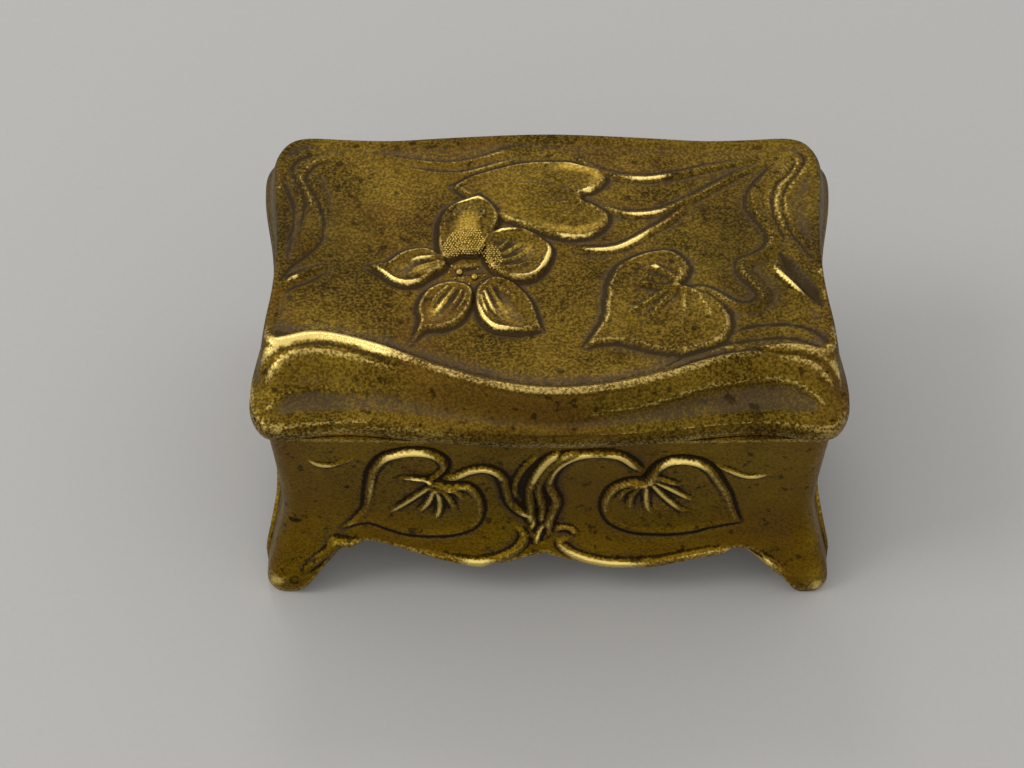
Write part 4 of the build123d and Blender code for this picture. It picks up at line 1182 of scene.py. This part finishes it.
def newGroup(name, kind, inputs, outputs):
    tree = bpy.data.node_groups.new(name, kind)
    for socket, socketKind, value in inputs:
        made = tree.interface.new_socket(socket, in_out="INPUT", socket_type="NodeSocket" + socketKind)
        if value is not None:
            made.default_value = value
    for socket, socketKind in outputs:
        tree.interface.new_socket(socket, in_out="OUTPUT", socket_type="NodeSocket" + socketKind)
    return tree, tree.nodes.new("NodeGroupInput"), tree.nodes.new("NodeGroupOutput")


def feed(tree, socket, value):  # a link, a number or a colour
    if isinstance(value, tuple):
        socket.default_value = (*value, 1)
    elif isinstance(value, (int, float)):
        socket.default_value = value
    else:
        tree.links.new(value, socket)


def socketOf(sockets, kind, name=None):  # the first socket of a kind, since several share a name
    return [socket for socket in sockets if socket.type == kind and name in (None, socket.name)][0]


def noise(tree, place, scale, detail, rough=0.55, stretch=0.0):
    node = tree.nodes.new("ShaderNodeTexNoise")
    given = {"Vector": place, "Scale": scale, "Detail": detail, "Roughness": rough, "Distortion": stretch}
    for socket, value in given.items():
        feed(tree, node.inputs[socket], value)
    return node.outputs["Fac"]


def arithmetic(tree, kind, first, second):
    node = tree.nodes.new("ShaderNodeMath")
    node.operation = kind
    feed(tree, node.inputs[0], first)
    feed(tree, node.inputs[1], second)
    return node.outputs[0]


def times(tree, first, second):
    return arithmetic(tree, "MULTIPLY", first, second)


def ranged(tree, value, low, high):
    node = tree.nodes.new("ShaderNodeMapRange")
    node.interpolation_type = "SMOOTHSTEP"
    for socket, number in (("Value", value), ("From Min", low), ("From Max", high)):
        feed(tree, node.inputs[socket], number)
    return node.outputs["Result"]


def mix(tree, share, first, second, kind):
    node = tree.nodes.new("ShaderNodeMix")
    node.data_type = "RGBA" if kind == "RGBA" else "FLOAT"
    tree.links.new(share, node.inputs["Factor"])
    sockets = [socket for socket in node.inputs if socket.type == kind][-2:]
    feed(tree, sockets[0], first)
    feed(tree, sockets[1], second)
    return socketOf(node.outputs, kind)


def mixColour(tree, share, first, second):
    return mix(tree, share, first, second, "RGBA")


def mixNumber(tree, share, first, second):
    return mix(tree, share, first, second, "VALUE")


# Granules and pearls of the flower

beads = {
    "granules": {
        "areas": (
            ((439, 251), (437, 241), (443, 230), (458, 223), (475, 226), (481, 238), (476, 250), (460, 250),
             (447, 253)),
            ((476, 250), (483, 240), (492, 243), (498, 256), (492, 268), (484, 264)),
        ),
        "apart": 0.46, "rowShare": 0.7, "play": (0.2, 0.15), "size": 0.26, "spread": 0.2, "rounds": 1,
    },
    "pearls": {"pixels": ((453.3, 268.5), (468.3, 273.5)), "size": 0.62, "spread": 0.0, "rounds": 3},
    "seeds": {
        "pixels": ((446, 262), (449, 274), (456, 277), (461, 263), (463, 280), (472, 265), (475, 279),
                   (478, 272), (443, 268)),
        "size": 0.28, "spread": 0.3, "rounds": 1,
    },
}


def beadTree():
    usual = beads["granules"]
    inputs = [
        ("Geometry", "Geometry", None), ("Finish", "Material", None), ("Seed", "Int", seed),
        ("Size", "Float", usual["size"] * mm), ("Spread", "Float", usual["spread"]),
        ("Rounds", "Int", usual["rounds"]),
    ]
    tree, given, result = newGroup("beadsOnSurface", "GeometryNodeTree", inputs, [("Geometry", "Geometry")])
    kinds = {
        "ball": "GeometryNodeMeshIcoSphere", "random": "FunctionNodeRandomValue",
        "placed": "GeometryNodeInstanceOnPoints", "real": "GeometryNodeRealizeInstances",
        "smooth": "GeometryNodeSetShadeSmooth", "finish": "GeometryNodeSetMaterial",
    }
    made = {name: tree.nodes.new(kind) for name, kind in kinds.items()}
    ball, random, placed, finish = (made[name] for name in ("ball", "random", "placed", "finish"))
    feed(tree, ball.inputs["Radius"], given.outputs["Size"])
    feed(tree, ball.inputs["Subdivisions"], given.outputs["Rounds"])
    least = arithmetic(tree, "SUBTRACT", 1.0, given.outputs["Spread"])
    feed(tree, socketOf(random.inputs, "VALUE", "Min"), least)
    feed(tree, socketOf(random.inputs, "VALUE", "Max"), 1.0)
    feed(tree, random.inputs["Seed"], given.outputs["Seed"])
    feed(tree, placed.inputs["Points"], given.outputs["Geometry"])
    feed(tree, placed.inputs["Instance"], ball.outputs["Mesh"])
    feed(tree, placed.inputs["Scale"], socketOf(random.outputs, "VALUE"))
    feed(tree, made["real"].inputs["Geometry"], placed.outputs["Instances"])
    feed(tree, made["smooth"].inputs["Geometry"], made["real"].outputs["Geometry"])
    feed(tree, finish.inputs["Geometry"], made["smooth"].outputs["Geometry"])
    feed(tree, finish.inputs["Material"], given.outputs["Finish"])
    feed(tree, result.inputs["Geometry"], finish.outputs["Geometry"])
    return tree


def granulePixels(look):  # staggered rows with a little play
    random = np.random.default_rng(seed)
    step = look["apart"] * photoCamera["focal"] / photoCamera["distance"]
    playAcross, playDown = look["play"]
    chosen = []
    for area in look["areas"]:
        us, vs = zip(*area)
        places = []
        for row, v in enumerate(np.arange(min(vs), max(vs), step * look["rowShare"])):
            for u in np.arange(min(us) + (row % 2) * step / 2, max(us), step):
                acrossPlay = random.uniform(-playAcross, playAcross) * step
                places.append((u + acrossPlay, v + random.uniform(-playDown, playDown) * step))
        places = np.array(places)
        chosen += places[insideOf(np.array(area, float), places)].tolist()
    return chosen


def beadPiece(name, look, surface, material):
    pixels = granulePixels(look) if "areas" in look else look["pixels"]
    start = makeMesh(name + "Start", surface.traced(pixels), [])
    modifier = start.modifiers.new("beads", "NODES")
    modifier.node_group = beadGroup
    items = [item for item in beadGroup.interface.items_tree if item.in_out == "INPUT"]
    sockets = {item.name: item.identifier for item in items}
    modifier[sockets["Size"]] = look["size"] * mm
    modifier[sockets["Spread"]] = look["spread"]
    modifier[sockets["Rounds"]] = look["rounds"]
    modifier[sockets["Seed"]] = seed
    modifier[sockets["Finish"]] = material
    evaluated = start.evaluated_get(bpy.context.evaluated_depsgraph_get())
    mesh = bpy.data.meshes.new_from_object(evaluated)
    mesh.name = name
    bpy.data.objects.remove(start)
    piece = bpy.data.objects.new(name, mesh)
    bpy.context.scene.collection.objects.link(piece)
    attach(piece, "lid")


# Finishes

mottling = {  # each mask's share of the finish's scale, and the stretch of noise that it spreads over 0 to 1
    "Broad": {"scale": 0.35, "detail": 5, "rough": 0.55, "stretch": 0.0, "from": (0.32, 0.68)},
    "Fine": {"scale": 9.0, "detail": 3, "rough": 0.6, "stretch": 0.0, "from": (0.36, 0.64)},
    "Spots": {"scale": 2.3, "detail": 2, "rough": 0.55, "stretch": 0.0, "from": (0.6, 0.7)},
    "Russet": {"scale": 0.16, "detail": 4, "rough": 0.55, "stretch": 0.6, "from": (0.45, 0.68)},
}
# Wear on crests and painted highlights at the glints, then patina in grooves and hollows
rubbingAndGlint = {
    "middle": 0.5, "uneven": 0.45, "crestShare": 0.55, "crestRubbedGlint": 0.65, "rubbedGlintAlone": 0.34,
    "WornGlint": (0.34, 1.2), "Film": (0.1, 0.75), "Dark": (0.25, 0.85),
}


def mottlingGroup():
    inputs = [("Place", "Vector", None), ("Scale", "Float", finishes["giltLid"]["scale"])]
    outputs = [(name, "Float") for name in mottling]
    tree, given, result = newGroup("patinaMottling", "ShaderNodeTree", inputs, outputs)
    for name, look in mottling.items():
        scale = times(tree, given.outputs["Scale"], look["scale"])
        cloud = noise(tree, given.outputs["Place"], scale, look["detail"], look["rough"], look["stretch"])
        feed(tree, result.inputs[name], ranged(tree, cloud, *look["from"]))
    return tree


def rubbingGlintGroup():
    inputs = [(name, "Float", 0.0) for name in ("Crest", "Groove", "RubbedGlint", "Hollow")]
    inputs.append(("Breakup", "Float", rubbingAndGlint["middle"]))
    outputs = [(name, "Float") for name in ("WornGlint", "Film", "Dark")]
    tree, given, result = newGroup("rubbedGlintAndSoiled", "ShaderNodeTree", inputs, outputs)
    crest, groove, rubbedglint, hollow, breakup = (given.outputs[name] for name, kind, value in inputs)
    uneven = times(tree, arithmetic(tree, "SUBTRACT", breakup, rubbingAndGlint["middle"]), rubbingAndGlint["uneven"])
    share = arithmetic(tree, "ADD", times(tree, rubbedglint, rubbingAndGlint["crestRubbedGlint"]), rubbingAndGlint["crestShare"])
    # crest wear, plus the painted highlight of the glint lines
    wornGlint = arithmetic(tree, "ADD", times(tree, crest, share), times(tree, rubbedglint, rubbingAndGlint["rubbedGlintAlone"]))
    masks = {
        "WornGlint": arithmetic(tree, "ADD", wornGlint, uneven),
        "Film": arithmetic(tree, "SUBTRACT", hollow, uneven),
        "Dark": arithmetic(tree, "SUBTRACT", groove, uneven),
    }
    for name, mask in masks.items():
        feed(tree, result.inputs[name], ranged(tree, mask, *rubbingAndGlint[name]))
    return tree


shares = {  # what every finish has of each mask
    "fine": 0.6, "broad": 0.4, "russet": 0.5, "spots": 0.7, "film": 0.8, "giltSheenBase": 0.3, "pitDepth": 0.05,
}
# worn is the pale gold of wear and of painted highlights; fresh is fresher gilding and painted highlight;
# dark also serves as painted shade
finishes = {
    "giltLid": {
        "patina": (0.022, 0.012, 0.001), "pale": (0.2, 0.124, 0.014), "russet": (0.105, 0.046, 0.009),
        "wornGlint": (0.85, 0.63, 0.2), "film": (0.1, 0.069, 0.036), "dark": (0.02, 0.011, 0.003),
        "spot": (0.012, 0.007, 0.002), "scale": 260.0, "rough": (0.6, 0.46), "wornGlintRough": 0.26,
        "filmRough": 0.68, "pitting": 0.6, "freshSheen": (0.48, 0.31, 0.045), "freshSheenShare": 0.75,
        "wornGlintShare": 0.95, "paintedShadeShare": 0.4, "darkShare": 0.6, "wear": True,
    },
    "giltBody": {
        "patina": (0.09, 0.049, 0.002), "pale": (0.24, 0.146, 0.006), "russet": (0.14, 0.066, 0.008),
        "wornGlint": (0.9, 0.68, 0.2), "film": (0.08, 0.052, 0.022), "dark": (0.008, 0.005, 0.002),
        "spot": (0.012, 0.008, 0.004), "scale": 260.0, "rough": (0.5, 0.38), "wornGlintRough": 0.26,
        "filmRough": 0.55, "pitting": 0.5, "freshSheen": (0.4, 0.25, 0.02), "freshSheenShare": 0.4,
        "wornGlintShare": 0.9, "paintedShadeShare": 0.0, "darkShare": 0.85, "wear": True,
    },
    "beadGilt": {
        "patina": (0.16, 0.1, 0.016), "pale": (0.62, 0.44, 0.1), "russet": (0.2, 0.11, 0.02),
        "spot": (0.03, 0.018, 0.005), "scale": 420.0, "rough": (0.42, 0.26), "pitting": 0.2, "wear": False,
    },
    "plateBrass": {
        "patina": (0.18, 0.115, 0.03), "pale": (0.28, 0.19, 0.06), "russet": (0.18, 0.09, 0.03),
        "spot": (0.05, 0.03, 0.012), "scale": 180.0, "rough": (0.5, 0.38), "pitting": 0.3, "wear": False,
    },
    "trayBrass": {
        "patina": (0.3, 0.2, 0.06), "pale": (0.42, 0.3, 0.11), "russet": (0.28, 0.16, 0.05),
        "spot": (0.09, 0.06, 0.025), "scale": 150.0, "rough": (0.44, 0.32), "pitting": 0.2, "wear": False,
    },
    "hingeBrass": {
        "patina": (0.2, 0.13, 0.035), "pale": (0.34, 0.24, 0.08), "russet": (0.2, 0.11, 0.03),
        "spot": (0.05, 0.03, 0.012), "scale": 400.0, "rough": (0.44, 0.32), "pitting": 0.2, "wear": False,
    },
}


groups = {"mottling": mottlingGroup(), "rubbingAndGlint": rubbingGlintGroup()}


def attributeFac(tree, name):
    node = tree.nodes.new("ShaderNodeAttribute")
    node.attribute_name = name
    return node.outputs["Fac"]


def placedGroup(tree, group):
    node = tree.nodes.new("ShaderNodeGroup")
    node.node_tree = group
    return node


def brassFinish(name):
    look = finishes[name]
    material = bpy.data.materials.new(name)
    material.use_nodes = True
    tree = material.node_tree
    shader = tree.nodes["Principled BSDF"]
    shader.inputs["Metallic"].default_value = 1.0
    marbling = placedGroup(tree, groups["mottling"])
    marbling.inputs["Scale"].default_value = look["scale"]
    tree.links.new(tree.nodes.new("ShaderNodeTexCoord").outputs["Object"], marbling.inputs["Place"])
    broad, fine, spots, russet = (marbling.outputs[key] for key in mottling)
    mixed = arithmetic(tree, "ADD", times(tree, fine, shares["fine"]), times(tree, broad, shares["broad"]))
    colour = mixColour(tree, mixed, look["patina"], look["pale"])
    colour = mixColour(tree, times(tree, russet, shares["russet"]), colour, look["russet"])
    colour = mixColour(tree, times(tree, spots, shares["spots"]), colour, look["spot"])
    roughness = mixNumber(tree, mixed, *look["rough"])
    if look["wear"]:
        worked = placedGroup(tree, groups["rubbingAndGlint"])
        for socket in ("Crest", "Groove", "RubbedGlint", "Hollow"):
            tree.links.new(attributeFac(tree, socket.lower()), worked.inputs[socket])
        tree.links.new(mixed, worked.inputs["Breakup"])
        wornGlint, film, dark = (worked.outputs[key] for key in ("WornGlint", "Film", "Dark"))
        # painted shade, mixed in with the dark colour
        paintedshade = times(tree, attributeFac(tree, "paintedshade"), look["paintedShadeShare"])
        # fresher gilding and painted highlight, in a brighter gold
        giltsheen = times(tree, attributeFac(tree, "giltsheen"), look["freshSheenShare"])
        giltsheen = times(tree, giltsheen, arithmetic(tree, "ADD", mixed, shares["giltSheenBase"]))
        colour = mixColour(tree, paintedshade, colour, look["dark"])
        colour = mixColour(tree, giltsheen, colour, look["freshSheen"])
        colour = mixColour(tree, times(tree, film, shares["film"]), colour, look["film"])
        colour = mixColour(tree, times(tree, dark, look["darkShare"]), colour, look["dark"])
        # pale gold of worn crests and of painted highlights
        colour = mixColour(tree, times(tree, wornGlint, look["wornGlintShare"]), colour, look["wornGlint"])
        roughness = mixNumber(tree, film, roughness, look["filmRough"])
        roughness = mixNumber(tree, wornGlint, roughness, look["wornGlintRough"])
    bump = tree.nodes.new("ShaderNodeBump")
    bump.inputs["Strength"].default_value = look["pitting"]
    bump.inputs["Distance"].default_value = shares["pitDepth"] * mm
    tree.links.new(fine, bump.inputs["Height"])
    tree.links.new(colour, shader.inputs["Base Color"])
    tree.links.new(roughness, shader.inputs["Roughness"])
    tree.links.new(bump.outputs["Normal"], shader.inputs["Normal"])
    return material


brass = {name: brassFinish(name) for name in finishes}


def setMaterial(piece, material):
    if not piece.material_slots:
        piece.data.materials.append(material)
    for place in piece.material_slots:
        place.material = material


beadGroup = beadTree()
crown = Panel(lidTop.shaped(relief["softening"], relief["lidProud"]), lidFaces, (0, 1), loose=True)
for name, look in beads.items():
    beadPiece(name, look, crown, brass["beadGilt"])
setMaterial(lidPiece, brass["giltLid"])
setMaterial(bodyPiece, brass["giltBody"])
metals = {"tray": "trayBrass", "hinge": "hingeBrass", "floor": "plateBrass"}
for name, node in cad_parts.items():
    for start, metal in metals.items():
        if name.startswith(start):
            setMaterial(node, brass[metal])
print("finishes set")


# Floor, lamps and surroundings

studio = {
    "floorHalf": 2500, "floorColour": (0.46, 0.452, 0.435), "floorRough": 0.85,
    "grain": 900, "grainDetail": 3, "grainShade": 0.94,
    "lampsAim": (0, 0, 0.02), "skyDiffuse": 0.78, "skySeen": 1.0,
}
lamps = {
    "keyLamp": {"at": (-0.1, 0.74, 0.86), "size": 0.26, "power": 1.3},
    "sideLamp": {"at": (-0.58, -0.14, 0.66), "size": 0.34, "power": 1.9},
}


def makeFloor():
    half = studio["floorHalf"]
    corners = [(-half, -half, 0), (half, -half, 0), (half, half, 0), (-half, half, 0)]
    floor = makeMesh("floor", corners, [(0, 1, 2, 3)])
    material = bpy.data.materials.new("paleFloor")
    material.use_nodes = True
    tree = material.node_tree
    shader = tree.nodes["Principled BSDF"]
    shader.inputs["Roughness"].default_value = studio["floorRough"]
    place = tree.nodes.new("ShaderNodeTexCoord").outputs["Object"]
    grain = noise(tree, place, studio["grain"], studio["grainDetail"])
    shade = tuple(studio["grainShade"] * part for part in studio["floorColour"])
    tree.links.new(mixColour(tree, grain, shade, studio["floorColour"]), shader.inputs["Base Color"])
    floor.data.materials.append(material)


def makeLamps():
    for name, lamp in lamps.items():
        data = bpy.data.lights.new(name, "AREA")
        data.size = lamp["size"]
        data.energy = lamp["power"]
        holder = bpy.data.objects.new(name, data)
        holder.location = lamp["at"]
        towards = Vector(studio["lampsAim"]) - Vector(lamp["at"])
        holder.rotation_euler = towards.to_track_quat("-Z", "Y").to_euler()
        bpy.context.scene.collection.objects.link(holder)


def makeWorld():
    world = bpy.data.worlds.new("studio")
    world.use_nodes = True
    tree = world.node_tree
    background = tree.nodes["Background"]
    background.inputs["Color"].default_value = (1, 1, 1, 1)
    rays = tree.nodes.new("ShaderNodeLightPath")
    seen = arithmetic(tree, "MAXIMUM", rays.outputs["Is Camera Ray"], rays.outputs["Is Glossy Ray"])
    seen = arithmetic(tree, "MAXIMUM", seen, rays.outputs["Is Transmission Ray"])
    strength = mixNumber(tree, seen, studio["skyDiffuse"], studio["skySeen"])
    tree.links.new(strength, background.inputs["Strength"])
    bpy.context.scene.world = world


makeFloor()
makeLamps()
makeWorld()
bpy.context.scene.view_settings.view_transform = "Standard"
print("studio ready")
